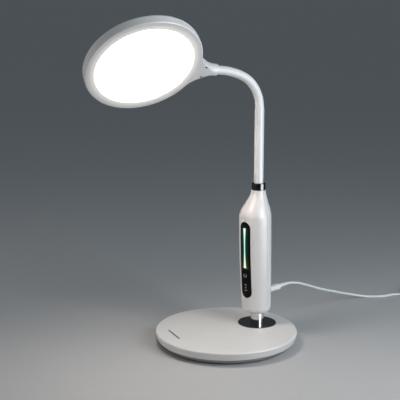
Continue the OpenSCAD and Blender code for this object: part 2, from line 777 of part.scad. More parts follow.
module diffuser() color("ivory") at_head() rod(guide_r, frame_t, guide_z);
module light_guide() color([0.8, 0.95, 1]) at_head() rod(guide_r, guide_z, reflector_z);
module reflector() color("white") at_head() rod(guide_r, reflector_z, reflector_z + reflector_t);
module led_strip() color("lightgray") at_head() ring(strip_r, strip_r - strip_t, strip_z, strip_z + strip_h);
module led_chips() color("lightyellow") at_head() for (i = [0 : chip_count - 1])
    rotate([0, 0, 360 * i / chip_count])
        translate([chip_r - chip_t, -chip_w / 2, chip_z]) cube([chip_t, chip_w, chip_h]);
module head_screws() color("silver") at_head() at_head_screws() {
    rod(head_screw_head_r, head_screw_z, head_screw_z + head_screw_head_h - eps);
    rod(head_screw_r, head_screw_z + head_screw_head_h / 2, head_screw_end);
}

// Lead
module cord_plug() color("white") at_column() translate([0, 0, socket_z]) {
    along_y(plug_y, relief_y) rounded(plug_w, plug_h, plug_edge);
    along_y(plug_y - plug_tip_len, plug_y + over) circle(plug_tip_r, $fn = fine);
}

module cord_relief() color("white") at_column() translate([0, relief_y, socket_z]) rotate([-90, 0, 0])
    cylinder(r1 = relief_d / 2, r2 = cord_r + relief_end, h = relief_len, $fn = fine);

module cord_lead() color("white") swept_tube(lead_points, cord_r, cord_sides);
module cord_coil() color("white") swept_tube(coil_path, cord_r, coil_sides);
module cord_tail() color("white") swept_tube(tail_points, cord_r, cord_sides);

// Strap round all the turns, on the side of the coil away from the lead
tie_w = 6;
tie_turn = 150;
module tie_box(x0, x1, z0, z1, w) translate([x0, -w / 2, z0]) cube([x1 - x0, w, z1 - z0]);
module coil_tie() color("dimgray") translate([coil_c[0], coil_c[1], 0]) rotate([0, 0, coil_a + tie_turn]) {
    x0 = coil_in - cord_r - loose;
    x1 = coil_out + cord_r + loose;
    top = coil_low + coil_pitch + cord_r + loose;
    difference() {
        tie_box(x0 - tie_t, x1 + tie_t, 0, top + tie_t, tie_w);
        tie_box(x0, x1, tie_t, top, tie_w + over);
    }
}

module usb_body() color("white") at_usb() along_x(0, usb_len) rounded(usb_w, usb_h, usb_edge);
module usb_shell() color("silver") at_usb() difference() {
    along_x(usb_len, usb_len + shell_len) square([shell_w, shell_h], center = true);
    along_x(usb_len - over, usb_len + shell_len + over) square(shell_bore, center = true);
}
module usb_tongue() color("white") at_usb() along_x(usb_len, usb_len + shell_len - over)
    translate([0, (tongue_t - shell_bore[1]) / 2]) square([shell_bore[0], tongue_t], center = true);

base_cover();
base_plate();
base_pad();
ballast();
base_screws();
foot_plate();
foot_neck();
neck_nut();
retaining_washer();
swivel_screw();
swivel_washer();
column_floor();
column_front();
column_back();
panel_lens();
light_bar();
touch_pads();
control_board();
mood_leds();
power_socket();
collar();
arm_tube();
tube_clamp();
clamp_screw();
neck_root();
neck_link(1);  // neck_link_1
neck_link(2);  // neck_link_2
neck_link(3);  // neck_link_3
neck_link(4);  // neck_link_4
neck_link(5);  // neck_link_5
neck_link(6);  // neck_link_6
neck_link(7);  // neck_link_7
neck_link(8);  // neck_link_8
neck_link(9);  // neck_link_9
head_frame();
head_back();
diffuser();
light_guide();
reflector();
led_strip();
led_chips();
head_screws();
cord_plug();
cord_relief();
cord_lead();
cord_coil();
coil_tie();
cord_tail();
usb_body();
usb_shell();
usb_tongue();
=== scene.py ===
import json
import math

import bmesh
import bpy
import numpy as np
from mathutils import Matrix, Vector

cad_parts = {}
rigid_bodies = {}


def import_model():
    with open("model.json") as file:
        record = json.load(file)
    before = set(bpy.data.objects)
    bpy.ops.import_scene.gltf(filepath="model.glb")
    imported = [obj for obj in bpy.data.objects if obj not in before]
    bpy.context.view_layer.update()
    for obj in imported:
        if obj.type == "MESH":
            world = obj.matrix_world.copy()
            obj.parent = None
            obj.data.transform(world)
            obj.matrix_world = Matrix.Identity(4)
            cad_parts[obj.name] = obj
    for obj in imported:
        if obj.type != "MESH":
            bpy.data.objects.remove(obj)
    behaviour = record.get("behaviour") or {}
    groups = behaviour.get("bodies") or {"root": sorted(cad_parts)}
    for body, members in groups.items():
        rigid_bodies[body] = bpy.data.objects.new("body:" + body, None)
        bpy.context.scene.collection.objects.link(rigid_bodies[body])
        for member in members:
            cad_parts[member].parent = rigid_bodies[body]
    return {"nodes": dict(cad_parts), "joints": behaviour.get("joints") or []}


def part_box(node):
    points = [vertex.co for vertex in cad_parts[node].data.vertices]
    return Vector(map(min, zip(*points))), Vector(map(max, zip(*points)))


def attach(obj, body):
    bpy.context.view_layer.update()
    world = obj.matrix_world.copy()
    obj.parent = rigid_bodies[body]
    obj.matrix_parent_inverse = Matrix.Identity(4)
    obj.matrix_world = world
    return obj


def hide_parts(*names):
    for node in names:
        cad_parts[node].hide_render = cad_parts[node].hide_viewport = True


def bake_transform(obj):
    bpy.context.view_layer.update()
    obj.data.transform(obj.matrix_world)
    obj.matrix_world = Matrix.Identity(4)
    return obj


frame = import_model()
nodes = frame["nodes"]
joints = {joint["name"]: joint for joint in frame["joints"]}
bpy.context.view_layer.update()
scene = bpy.context.scene
mm = 0.001  # shapes are worked out in millimetres and put into the meshes in metres


def addObject(name, data):
    made = bpy.data.objects.new(name, data)
    scene.collection.objects.link(made)
    return made


# Camera at the photograph's viewing angle
cameraView = {
    "place": (0.9989, -0.6658, 0.4338),  # metres, in the lamp's own frame
    "heading": 57.914,                   # degrees round from the lamp's front
    "pitch": 11.70,                      # degrees downwards
    "lens": 88.73,                       # millimetres
    "sensor": 36,
    "far": 1000,                         # metres
}


def makeCamera(v):
    data = bpy.data.cameras.new("camera")
    data.sensor_width = v["sensor"]
    data.lens = v["lens"]
    data.clip_end = v["far"]
    camera = addObject("camera", data)
    camera.location = v["place"]
    camera.rotation_euler = (math.radians(90 - v["pitch"]), 0, math.radians(v["heading"]))
    bpy.context.scene.camera = camera


makeCamera(cameraView)
scene.view_settings.view_transform = "Standard"
print("camera set")


# Shader sums: a Wire is a socket that takes part in them, Nodes is a tree of nodes under construction, and
# a Paint is a material's tree
class Wire:
    def __init__(self, nodes, socket):
        self.nodes = nodes
        self.socket = socket

    def __add__(self, other):
        return self.nodes.math("ADD", self, other)

    def __radd__(self, other):
        return self.nodes.math("ADD", other, self)

    def __sub__(self, other):
        return self.nodes.math("SUBTRACT", self, other)

    def __rsub__(self, other):
        return self.nodes.math("SUBTRACT", other, self)

    def __mul__(self, other):
        return self.nodes.math("MULTIPLY", self, other)

    def __rmul__(self, other):
        return self.nodes.math("MULTIPLY", other, self)

    def __truediv__(self, other):
        return self.nodes.math("DIVIDE", self, other)

    def __rtruediv__(self, other):
        return self.nodes.math("DIVIDE", other, self)


class Nodes:
    def __init__(self, owner):
        owner.use_nodes = True
        self.tree = owner.node_tree

    def join(self, node, sockets):
        for key, value in sockets.items():
            if isinstance(value, Wire):
                self.tree.links.new(value.socket, node.inputs[key])
            else:
                node.inputs[key].default_value = value

    def node(self, kind, settings, sockets, out=0):
        made = self.tree.nodes.new(kind)
        for key, value in settings.items():
            if key == "stops":
                while len(made.color_ramp.elements) < len(value):
                    made.color_ramp.elements.new(1)
                for element, (place, colour) in zip(made.color_ramp.elements, value):
                    element.position = place
                    element.color = colour
            else:
                setattr(made, key, value)
        self.join(made, sockets)
        return Wire(self, made.outputs[out])

    def math(self, operation, *values):
        return self.node("ShaderNodeMath", {"operation": operation}, dict(enumerate(values)))


class Paint(Nodes):
    def __init__(self, name, fixed):
        self.material = bpy.data.materials.new(name)
        super().__init__(self.material)
        self.shader = self.tree.nodes["Principled BSDF"]
        self.join(self.shader, fixed)

    def place(self):
        return self.node("ShaderNodeTexCoord", {}, {}, "Object")

    def noise(self, where, scale, detail=2.0):
        return self.node("ShaderNodeTexNoise", {}, {"Vector": where, "Scale": scale, "Detail": detail})

    # colour mix: input 0 is the share, 6 and 7 are the colours, and output 2 is the mixed colour
    def mix(self, share, one, two):
        return self.node("ShaderNodeMix", {"data_type": "RGBA"}, {0: share, 6: one, 7: two}, 2)

    def soft(self, value, low, high):
        settings = {"interpolation_type": "SMOOTHSTEP"}
        return self.node("ShaderNodeMapRange", settings, {0: value, 1: low, 2: high, 3: 0.0, 4: 1.0})

    def bump(self, height, depth):
        return self.node("ShaderNodeBump", {}, {"Strength": 1.0, "Distance": depth, "Height": height})

    def feed(self, **sockets):
        self.join(self.shader, {key.replace("_", " "): value for key, value in sockets.items()})
        return self.material


def rgb(r, g, b):
    return (r, g, b, 1.0)


def shade(colour, factor):
    return rgb(*[channel * factor for channel in colour[:3]])


# Patterns of the finishes: noise scales count per metre, and depths are in millimetres
pattern = {
    "clouds": 38.0,
    "wipes": 210.0,
    "grainDepth": 0.006,
    "polishWipes": 160.0,
    "polishDepth": 0.002,
    "specks": 900.0,
    "turning": 700.0,
    "turningDepth": 0.004,
    "stain": 120.0,
    "opalClouds": 30.0,
    "opalGrain": 2600.0,
    "opalDepth": 0.004,
    "barClouds": 260.0,
    "barDepth": 0.003,
    "dust": 700.0,
    "tooth": 30.0,
}


# Moulded finish: faint clouding of the colour, spark-eroded grain and patchy gloss
def mouldedPaint(name, colour, roughness, grain=0.35, clouding=0.03, **fixed):
    paint = Paint(name, {"IOR": 1.5, **fixed})
    where = paint.place()
    cloud = paint.noise(where, pattern["clouds"])
    wipes = paint.noise(where, pattern["wipes"], 3.0)
    fine = paint.noise(where, 1 / (grain * mm))
    paint.feed(
        Base_Color=paint.mix(cloud, shade(colour, 1 - clouding), shade(colour, 1 + clouding)),
        Roughness=roughness - 0.05 + 0.1 * wipes,
        Normal=paint.bump(fine, pattern["grainDepth"] * mm),
    )
    return paint


def mouldedFinish(*values, **settings):
    return mouldedPaint(*values, **settings).material


# Polished finish: dark plating or gloss plastic with faint wiping marks
def polishedFinish(name, colour, roughness, metallic=0.0):
    paint = Paint(name, {"Metallic": metallic, "IOR": 1.52})
    where = paint.place()
    wipes = paint.noise(where, pattern["polishWipes"], 4.0)
    specks = paint.noise(where, pattern["specks"])
    return paint.feed(
        Base_Color=paint.mix(specks, shade(colour, 0.92), shade(colour, 1.08)),
        Roughness=roughness + 0.05 * wipes,
        Normal=paint.bump(wipes, pattern["polishDepth"] * mm),
    )


# Machined finish: fine turning lines round the foot's axis, for steel and brass inside the lamp
def machinedFinish(name, colour, roughness):
    paint = Paint(name, {"Metallic": 1.0})
    where = paint.place()
    lines = paint.node("ShaderNodeTexWave", {"wave_type": "RINGS", "rings_direction": "Z"},
                       {"Vector": where, "Scale": pattern["turning"], "Distortion": 1.5})
    stain = paint.noise(where, pattern["stain"], 3.0)
    return paint.feed(
        Base_Color=paint.mix(stain, shade(colour, 0.85), shade(colour, 1.1)),
        Roughness=roughness + 0.15 * stain,
        Normal=paint.bump(lines, pattern["turningDepth"] * mm),
    )


headWhite = rgb(0.83, 0.82, 0.81)
finishes = {
    "base_white": mouldedFinish("base white", rgb(0.755, 0.735, 0.71), 0.42),
    "shell_white": mouldedFinish("shell white", rgb(0.79, 0.765, 0.745), 0.36),
    "head_white": mouldedFinish("head white", headWhite, 0.34),
    "tube_white": mouldedFinish("tube lacquer", rgb(0.80, 0.80, 0.80), 0.30, grain=0.5),
    "neck_white": mouldedFinish("neck silicone", rgb(0.84, 0.845, 0.85), 0.48, grain=0.25),
    "cord_white": mouldedFinish("cord vinyl", rgb(0.88, 0.88, 0.875), 0.45, grain=0.3),
    "plug_white": mouldedFinish("plug vinyl", rgb(0.86, 0.86, 0.855), 0.42, grain=0.3),
    "inner_plastic": mouldedFinish("inner plastic", rgb(0.55, 0.55, 0.54), 0.5),
    "base_dark": mouldedFinish("base plate plastic", rgb(0.34, 0.345, 0.36), 0.5),
    "pad_rubber": mouldedFinish("pad foam", rgb(0.03, 0.03, 0.03), 0.85, grain=0.8, clouding=0.2),
    "socket_black": mouldedFinish("socket plastic", rgb(0.03, 0.03, 0.03), 0.4),
    "tie_grey": mouldedFinish("tie strap", rgb(0.20, 0.20, 0.205), 0.7, grain=0.6, clouding=0.1),
    "board_green": mouldedFinish("board lacquer", rgb(0.02, 0.14, 0.05), 0.35, clouding=0.15),
    "sheet_white": mouldedFinish("reflector sheet", rgb(0.85, 0.85, 0.85), 0.5),
    "led_yellow": mouldedFinish("chip phosphor", rgb(0.85, 0.70, 0.25), 0.4, clouding=0.1),
    "guide_clear": mouldedFinish("light guide", rgb(0.80, 0.86, 0.88), 0.12),
    "black_mirror": polishedFinish("foot plate gloss", rgb(0.006, 0.006, 0.0065), 0.015),
    "black_chrome": polishedFinish("black plating", rgb(0.06, 0.06, 0.062), 0.06, metallic=1.0),
    "bright_chrome": polishedFinish("bright plating", rgb(0.66, 0.66, 0.67), 0.07, metallic=1.0),
    "ballast_iron": machinedFinish("ballast iron", rgb(0.22, 0.21, 0.20), 0.55),
    "steel": machinedFinish("steel", rgb(0.60, 0.60, 0.60), 0.28),
    "contact_brass": machinedFinish("contact brass", rgb(0.75, 0.55, 0.22), 0.30),
}
print("finishes mixed:", len(finishes))


# Grid faces: point (row, column) joins its neighbours in fours, and either way may close on itself
def gridFaces(rows, columns, closeRows=False, closeColumns=True):
    r = np.arange(rows if closeRows else rows - 1)[:, None]
    c = np.arange(columns if closeColumns else columns - 1)[None, :]
    nextR = (r + 1) % rows
    nextC = (c + 1) % columns
    corners = [r * columns + c, r * columns + nextC, nextR * columns + nextC, nextR * columns + c]
    return np.stack(np.broadcast_arrays(*corners), -1).reshape(-1, 4)


def chain(*parts):
    return np.concatenate(parts)


# Points from their coordinates, one array for each axis
def pointsAt(*axes):
    return np.stack(np.broadcast_arrays(*axes), -1)


# Several grids as one list of points and faces
def joinGrids(grids):
    starts = np.cumsum([0] + [len(points.reshape(-1, 3)) for points, faces in grids])
    points = np.concatenate([points.reshape(-1, 3) for points, faces in grids])
    faces = np.concatenate([faces + start for (points, faces), start in zip(grids, starts)])
    return points, faces


sharpEdge = 32.0  # degrees between faces from which an edge stays sharp
sameSpot = 0.003  # millimetres under which two points are one


# Puts points and faces into a mesh, merges doubles and turns the faces outwards
def makePiece(name, grid, finish, replaced=(), around=None):
    points, faces = grid
    mesh = bpy.data.meshes.new(name)
    mesh.from_pydata((points.reshape(-1, 3) * mm).tolist(), [], faces.tolist())
    work = bmesh.new()
    work.from_mesh(mesh)
    bmesh.ops.remove_doubles(work, verts=work.verts, dist=sameSpot * mm)
    bmesh.ops.recalc_face_normals(work, faces=work.faces)
    if around is not None:
        centre = np.array(around) * mm
        outward = sum(f.calc_area() * np.dot(f.normal, np.array(f.calc_center_median()) - centre)
                      for f in work.faces)
        if outward < 0:
            bmesh.ops.reverse_faces(work, faces=work.faces)
    work.to_mesh(mesh)
    work.free()
    mesh.shade_smooth()
    mesh.set_sharp_from_angle(angle=math.radians(sharpEdge))
    mesh.materials.append(finishes[finish])
    piece = addObject(name, mesh)
    if replaced:
        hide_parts(*replaced)
    return piece


# Profile whose corners (x, y, radius) become arcs tangent to both sides, with a point just before and after
def roundedProfile(corners, steps=6, beside=1.25):
    corners = [np.array(corner, float) for corner in corners]
    points = []
    for before, here, after in zip(corners[-1:] + corners[:-1], corners, corners[1:] + corners[:1]):
        corner = here[:2]
        radius = here[2]
        if radius == 0:
            points.append(corner[None])
            continue
        u = (before[:2] - corner) / np.linalg.norm(before[:2] - corner)
        v = (after[:2] - corner) / np.linalg.norm(after[:2] - corner)
        half = math.acos(np.clip(u @ v, -1, 1)) / 2
        reach = radius / math.tan(half)
        centre = corner + (u + v) / np.linalg.norm(u + v) * radius / math.sin(half)
        first = corner + u * reach - centre
        last = corner + v * reach - centre
        swing = math.pi - 2 * half
        t = np.linspace(0, 1, steps + 1)[:, None]
        arc = centre + (np.sin((1 - t) * swing) * first + np.sin(t * swing) * last) / math.sin(swing)
        points += [(corner + u * reach * beside)[None], arc, (corner + v * reach * beside)[None]]
    return np.concatenate(points)


def circle(count):
    return np.linspace(0, 2 * np.pi, count, endpoint=False)


def quarter(count):
    return np.linspace(0, np.pi / 2, count)


# Lathe: profile point (r, z) stands at (r cos a, r sin a, z) for every angle a
def lathe(profile, sides, closed=True):
    a = circle(sides)
    r = profile[:, :1]
    z = profile[:, 1:] * np.ones_like(a)
    return pointsAt(r * np.cos(a), r * np.sin(a), z), gridFaces(len(profile), sides, closed)


# Sideways and upwards directions along a path: the first is level and across the path
def pathSides(path):
    along = np.gradient(path, axis=0)
    along /= np.linalg.norm(along, axis=1, keepdims=True)
    side = np.cross(along, [0, 0, 1])
    side /= np.linalg.norm(side, axis=1, keepdims=True)
    return side, np.cross(side, along)


# Round tube: at path point P, sideways S and upwards U, a ring of points P + r cos a S + r sin a U. The
# first and last rings shrink to the path and close the ends.
def roundTube(path, radius, sides=20):
    a = circle(sides)[:, None]
    side, up = pathSides(path)
    rings = path[:, None] + radius * (np.cos(a) * side[:, None] + np.sin(a) * up[:, None])
    ends = [path[[i], None] * np.ones((1, sides, 1)) for i in (0, -1)]
    return chain(ends[0], rings, ends[1]), gridFaces(len(path) + 2, sides)


# Smooth curve through control points: on each span the cubic with slopes (next - previous) / 2
def throughPoints(control, steps=8):
    p = np.asarray(control, float)
    t = np.linspace(0, 1, steps, endpoint=False)[None, :, None]
    a, b, c, d = (p[i:len(p) - 3 + i, None] for i in range(4))
    square = 2 * a - 5 * b + 4 * c - d
    cube = 3 * b - a - 3 * c + d
    curve = (2 * b + (c - a) * t + square * t**2 + cube * t**3) / 2
    return chain(curve.reshape(-1, 3), p[-2:-1])


# Turn about z, from x towards y
def turnZ(degrees):
    c = math.cos(math.radians(degrees))
    s = math.sin(math.radians(degrees))
    return np.array([[c, -s, 0], [s, c, 0], [0, 0, 1]])


# The same turn, with each axis moved on by one
def turnX(degrees):
    return np.roll(turnZ(degrees), 1, (0, 1))


def placed(grid, matrix, shift):
    points, faces = grid
    return points @ np.asarray(matrix).T + shift, faces


def moved(grid, shift):
    return placed(grid, np.eye(3), shift)


def boxMm(node):
    low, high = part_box(node)
    return np.array(low) / mm, np.array(high) / mm


# Smooth step from 0 to 1: 3 t^2 - 2 t^3
def ease(t):
    t = np.clip(t, 0, 1)
    return t * t * (3 - 2 * t)


# The lamp's own frames, from the joints: foot axis, column's turn, arm's plane, head's place
foot = np.array([*joints["column_swivel"]["pos_m"][:2], 0]) / mm
columnAngle = -np.mean(joints["column_swivel"]["range_deg"])
columnTurn = turnZ(columnAngle)
armAxis = np.array(joints["neck_bend"]["axis"])
neckAxis = np.array(joints["head_roll"]["axis"])
headRoll = -np.mean(joints["head_roll"]["range_deg"])


# Column shells: each level is a circle through the front and back walls
shell = {
    "low": boxMm("column_front")[0][2],
    "high": boxMm("column_front")[1][2],
    "shoulder": 34.0,     # height of the shoulder below the collar
    "frontLow": 20.2,     # reach of the front wall at the bottom
    "frontHigh": 26.2,
    "backLow": 17.0,
    "backHigh": 14.6,
    "topRadius": 9.2,
    "round": 8.0,         # radius of the lower edge
    "wall": 2.0,
    "seam": 0.25,         # degrees left open at each side of a seam
    "panelMiddle": 72.4,  # above the column's bottom
    "panelLength": 100.0,
    "panelWidth": 16.0,
    "panelBand": 54.0,    # from the panel's middle down to the plain grid
    "bandRoom": 1.0,      # from the band round the panel up to the shoulder
    "panelGrid": (48, 80, 30),  # points across the hole, points down its side, rows round it
    "socketHeight": 24.0,
    "socketHole": 4.1,
    "socketBand": 9.0,
    "socketGrid": (48, 24, 16),
    "gap": 0.12,          # between the panel and its hole
}
shell["roundTop"] = shell["low"] + shell["round"]
shell["shoulderLow"] = shell["high"] - shell["shoulder"]
panelZ = shell["low"] + shell["panelMiddle"]
socketZ = shell["low"] + shell["socketHeight"]


# Level at height z: the front bows out by 1 - (1 - t)^2, the back leans in evenly, both ease in over the
# shoulder, and the lower edge is a quarter round
def columnLevel(z):
    z = np.asarray(z, float)
    rise = np.clip((z - shell["roundTop"]) / (shell["shoulderLow"] - shell["roundTop"]), 0, 1)
    fall = ease((z - shell["shoulderLow"]) / shell["shoulder"])
    front = shell["frontHigh"] - (shell["frontHigh"] - shell["frontLow"]) * (1 - rise) ** 2
    front = front + (shell["topRadius"] - shell["frontHigh"]) * fall
    back = shell["backLow"] + (shell["backHigh"] - shell["backLow"]) * rise
    back = back + (shell["topRadius"] - shell["backHigh"]) * fall
    down = np.clip((shell["roundTop"] - z) / shell["round"], 0, 1)
    inset = shell["round"] * (1 - np.sqrt(1 - down**2))
    return (front + back) / 2 - inset, (back - front) / 2


# Point of the column's skin at an angle from the front (or from the back, with facing -1)
def onColumn(angle, z, proud=0.0, facing=1):
    r, y = columnLevel(z)
    r = r + proud
    return pointsAt(facing * r * np.sin(angle), y - facing * r * np.cos(angle), z)


# Angle from the front at which the skin lies x aside from the middle
def angleAt(x, z):
    return np.arcsin(x / columnLevel(z)[0])


def toColumn(grid):
    return placed(grid, columnTurn, foot)


# Outline of a hole: top arc, right side, bottom arc, left side, as (x, z)
def pillOutline(length, width, across, down):
    r = width / 2
    straight = (length - width) / 2
    over = np.linspace(np.pi, 0, across, endpoint=False)
    under = np.linspace(0, -np.pi, across, endpoint=False)
    side = np.linspace(straight, -straight, down, endpoint=False)
    x = chain(r * np.cos(over), np.full(down, r), r * np.cos(under), np.full(down, -r))
    z = chain(straight + r * np.sin(over), side, r * np.sin(under) - straight, -side)
    return x, z


# Half shell with a hole: plain grids above and below, and between them a band whose rows run from the
# hole's outline to the band's edge
def halfShell(facing, hole, middle, bandLow, bandHigh, across, down, rows):
    limit = math.radians(90 - shell["seam"])
    angles = np.linspace(-limit, limit, across + 1)
    lowZ = chain(shell["roundTop"] - shell["round"] * np.cos(quarter(14)),
                 np.linspace(shell["roundTop"], bandLow, 24)[1:])
    highZ = np.linspace(bandHigh, shell["high"], 60)
    x, z = hole
    inner = pointsAt(angleAt(x, middle + z), middle + z)
    side = np.linspace(bandHigh, bandLow, down, endpoint=False)
    edgeAngle = chain(angles[:-1], np.full(down, limit), -angles[:-1], np.full(down, -limit))
    edgeZ = chain(np.full(across, bandHigh), side, np.full(across, bandLow), bandLow + bandHigh - side)
    outer = pointsAt(edgeAngle, edgeZ)
    t = np.linspace(0, 1, rows)[:, None, None]
    flat = inner * (1 - t) + outer * t
    grids = [(onColumn(angles, z[:, None], facing=facing), gridFaces(len(z), across + 1, False, False))
             for z in (lowZ, highZ)]
    grids += [(onColumn(flat[..., 0], flat[..., 1], facing=facing), gridFaces(rows, len(x)))]
    return joinGrids(grids)


def thicken(piece, wall):
    solid = piece.modifiers.new("wall", "SOLIDIFY")
    solid.thickness = wall * mm
    solid.offset = -1
    solid.use_even_offset = True


# The round socket hole is a pill whose straight sides have almost no length
panelHole = pillOutline(shell["panelLength"] + 2 * shell["gap"], shell["panelWidth"] + 2 * shell["gap"],
                        *shell["panelGrid"][:2])
socketHole = pillOutline(2 * shell["socketHole"] + 1e-6, 2 * shell["socketHole"], *shell["socketGrid"][:2])
columnMiddle = foot + [0, 0, (shell["low"] + shell["high"]) / 2]
bandTop = shell["shoulderLow"] - shell["bandRoom"]
frontGrid = halfShell(1, panelHole, panelZ, panelZ - shell["panelBand"], bandTop, *shell["panelGrid"])
backGrid = halfShell(-1, socketHole, socketZ, socketZ - shell["socketBand"], socketZ + shell["socketBand"],
                     *shell["socketGrid"])
columnFront = makePiece("columnFront", toColumn(frontGrid), "shell_white", ["column_front"], columnMiddle)
columnBack = makePiece("columnBack", toColumn(backGrid), "shell_white", ["column_back"], columnMiddle)
for piece in (columnFront, columnBack):
    thicken(piece, shell["wall"])
    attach(piece, "column")
print("column shells made")


# Lead: relief out of the column's back, down to the table, along it to a coil with its plug beside it
lead = {
    "diameter": 3.5,
    "plugGap": 0.5,
    "plugLength": 26.0,
    "plugWidth": 8.6,
    "plugHeight": 7.2,
    "plugRound": 2.2,    # corners of its section
    "plugEnd": 0.9,      # rounding of its ends
    "plugGrips": (9.0, 2.6, 5, 0.75, 0.35),  # first, pitch, number, half width, depth
    "plugTip": 2.7,
    "plugTipLength": 8.0,
    "plugTipEdge": 0.4,
    "reliefLength": 16.0,
    "reliefWide": 3.0,
    "reliefNarrow": 2.1,
    "reliefRings": 5,
    "reliefGroove": 0.28,
    "reliefSquare": 0.6,  # where the grooves' cosine is cut off, which squares them
    "reliefPlain": 0.12,  # share of its length without grooves at each end
    "room": 0.3,
    "coilMiddle": (-20.5, 364.5),
    "coilStart": -32.0,  # degrees
    "coilInside": 14.5,
    "coilAir": 0.5,
    "coilTurns": 3,      # in each of two layers
    "coilLow": 3.05,
    "coilClimb": 0.5,    # share of a turn over which it climbs to the second layer
    "exitStep": 12.0,    # length over which the cord's direction at the relief is set
    # route from the relief to the coil, listed point by point
    "route": [
        (-17, 116, 56), (-20, 126, 53.5), (-23, 136, 50.5), (-26, 146, 46.5), (-29, 156, 42.5),
        (-32, 167, 38), (-35, 178, 33.5), (-38, 189, 29.5), (-41, 200, 25.5), (-43.5, 211, 22),
        (-46.5, 223, 17.5), (-49.5, 235, 13.5), (-52, 248, 9.5), (-52, 260, 6), (-49.5, 271, 3.2),
        (-45.5, 281, 1.8), (-39.5, 290, 1.8), (-35.5, 300, 1.8), (-34.5, 311, 1.8), (-32.5, 322, 1.8),
        (-27, 330, 1.8), (-19, 334.5, 2), (-10.5, 337.5, 2.4), (-4, 341.5, 2.8),
    ],
    "still": (-32.5, 322, 1.8),  # from here on the cord keeps its place on the table
    # route from the coil's top layer to the plug, counted from the coil's end
    "tail": [(4.5, 7.2, -0.3), (8, 12.8, -1.2), (11.5, 18.4, -2.3), (14.5, 23.2, -2.9), (17, 27, -3.05)],
    "usbBody": (22.0, 15.6, 8.0),
    "usbRound": 2.4,
    "usbEnd": 1.2,
    "usbGrips": (6.0, 2.2, 4, 0.65, 0.3),
    "usbShell": (18.0, 12.0, 4.5),
    "usbWall": 0.4,
    "usbCorners": (0.7, 0.4),  # outside and inside
    "usbRim": 0.1,
    "usbTongue": 1.8,
    "tongueEdge": 0.2,
    "tongueShort": 1.0,  # how far it stays behind the shell's rim
    "tieTurn": 150.0,
    "tieWidth": 6.0,
    "tieThick": 1.0,
    "tieRound": 2.4,
    "tieEdge": 0.15,
}
backAtSocket = columnLevel(socketZ)[0] + columnLevel(socketZ)[1]
plugY = backAtSocket + lead["plugGap"]
reliefY = plugY + lead["plugLength"]
cordY = reliefY + lead["reliefLength"] + lead["room"]


def onSocketLine(y):
    return columnTurn @ np.array([0, y, socketZ]) + foot


pitch = lead["diameter"] + lead["coilAir"]


# Coil: radius grows by one pitch a turn either side of the middle turn, where the cord climbs one layer
def coilPoints(turn):
    radius = lead["coilInside"] + pitch * np.abs(turn - lead["coilTurns"])
    climb = np.clip((turn - lead["coilTurns"]) / lead["coilClimb"] + 0.5, 0, 1)
    a = np.radians(lead["coilStart"]) + 2 * np.pi * turn
    x, y = lead["coilMiddle"]
    return pointsAt(x + radius * np.cos(a), y + radius * np.sin(a), lead["coilLow"] + pitch * climb)


turnPoints = 60
coil = coilPoints(np.linspace(0, 2 * lead["coilTurns"], 2 * lead["coilTurns"] * turnPoints + 1))
coilHeading = np.radians(lead["coilStart"])
coilDir = np.array([-math.sin(coilHeading), math.cos(coilHeading), 0]) * lead["diameter"]
exitPoint = onSocketLine(cordY)
beforeExit = onSocketLine(cordY - lead["exitStep"])
leadCurve = throughPoints([beforeExit, exitPoint, *lead["route"], coil[0] - coilDir, coil[0]])
tailPoints = coil[-1] + np.array(lead["tail"])
tailEnd = tailPoints[-1]
tailStep = tailPoints[-1] - tailPoints[-2]
tailCurve = throughPoints([coil[-1], coil[-1] + coilDir, *tailPoints, tailEnd + tailStep])
cordPath = chain(leadCurve, coil, tailCurve)
offTable = 0.02
cordPath[:, 2] = np.maximum(cordPath[:, 2], lead["diameter"] / 2 + offTable)
cordLead = makePiece("cordLead", roundTube(cordPath, lead["diameter"] / 2), "cord_white",
                     ["cord_lead", "cord_coil", "cord_tail"])
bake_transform(cordLead)


# Rounded rectangle as a closed section
def roundedSection(width, height, radius, steps=6):
    w = width / 2
    h = height / 2
    return roundedProfile([(w, -h, radius), (w, h, radius), (-w, h, radius), (-w, -h, radius)], steps)


# Section point (u, v) at distance y along a straight line stands at (u, y, v)
def carried(sections, along, closed=False):
    points = pointsAt(sections[..., 0], along[:, None], sections[..., 1])
    return points, gridFaces(len(along), sections.shape[1], closed)


# Moulded body along a straight line: the section shrinks at both ends by a quarter round, and then to a
# point, and dips in shallow grip grooves of depth exp(-x^4)
def mouldedBody(length, section, edge, grips=(0, 0, 0, 1, 0)):
    reach = np.linalg.norm(section, axis=1).min()
    bend = quarter(6)
    run = np.linspace(edge, length - edge, 90)[1:-1]
    inwards = edge * (1 - np.cos(bend))
    upwards = edge * (1 - np.sin(bend))
    along = chain([0], inwards, run, length - upwards, [length])
    inset = chain([reach], upwards, 0 * run, inwards, [reach])
    first, spacing, number, width, depth = grips
    for i in range(number):
        inset = inset + depth * np.exp(-((along - first - spacing * i) / width) ** 4)
    scale = np.maximum(1 - inset / reach, 0)[:, None, None]
    return carried(section * scale, along)


# Plug in the column's back, with grip grooves across it
plugSection = roundedSection(lead["plugWidth"], lead["plugHeight"], lead["plugRound"])
plugBody = mouldedBody(lead["plugLength"], plugSection, lead["plugEnd"], lead["plugGrips"])
tipR = lead["plugTip"]
tipLow = -lead["plugTipLength"]
tipEdge = lead["plugTipEdge"]
tipHigh = lead["plugGap"]
tipProfile = np.array([
    (0, tipLow), (tipR - tipEdge, tipLow), (tipR, tipLow + tipEdge), (tipR, tipHigh), (0, tipHigh)])
alongY = np.array([[1, 0, 0], [0, 0, 1], [0, -1, 0]])
plugGrid = moved(plugBody, [0, plugY, socketZ])
tipGrid = placed(lathe(tipProfile, 48, False), alongY, [0, plugY, socketZ])
cordPlug = makePiece("cordPlug", toColumn(joinGrids([plugGrid, tipGrid])), "plug_white", ["cord_plug"])

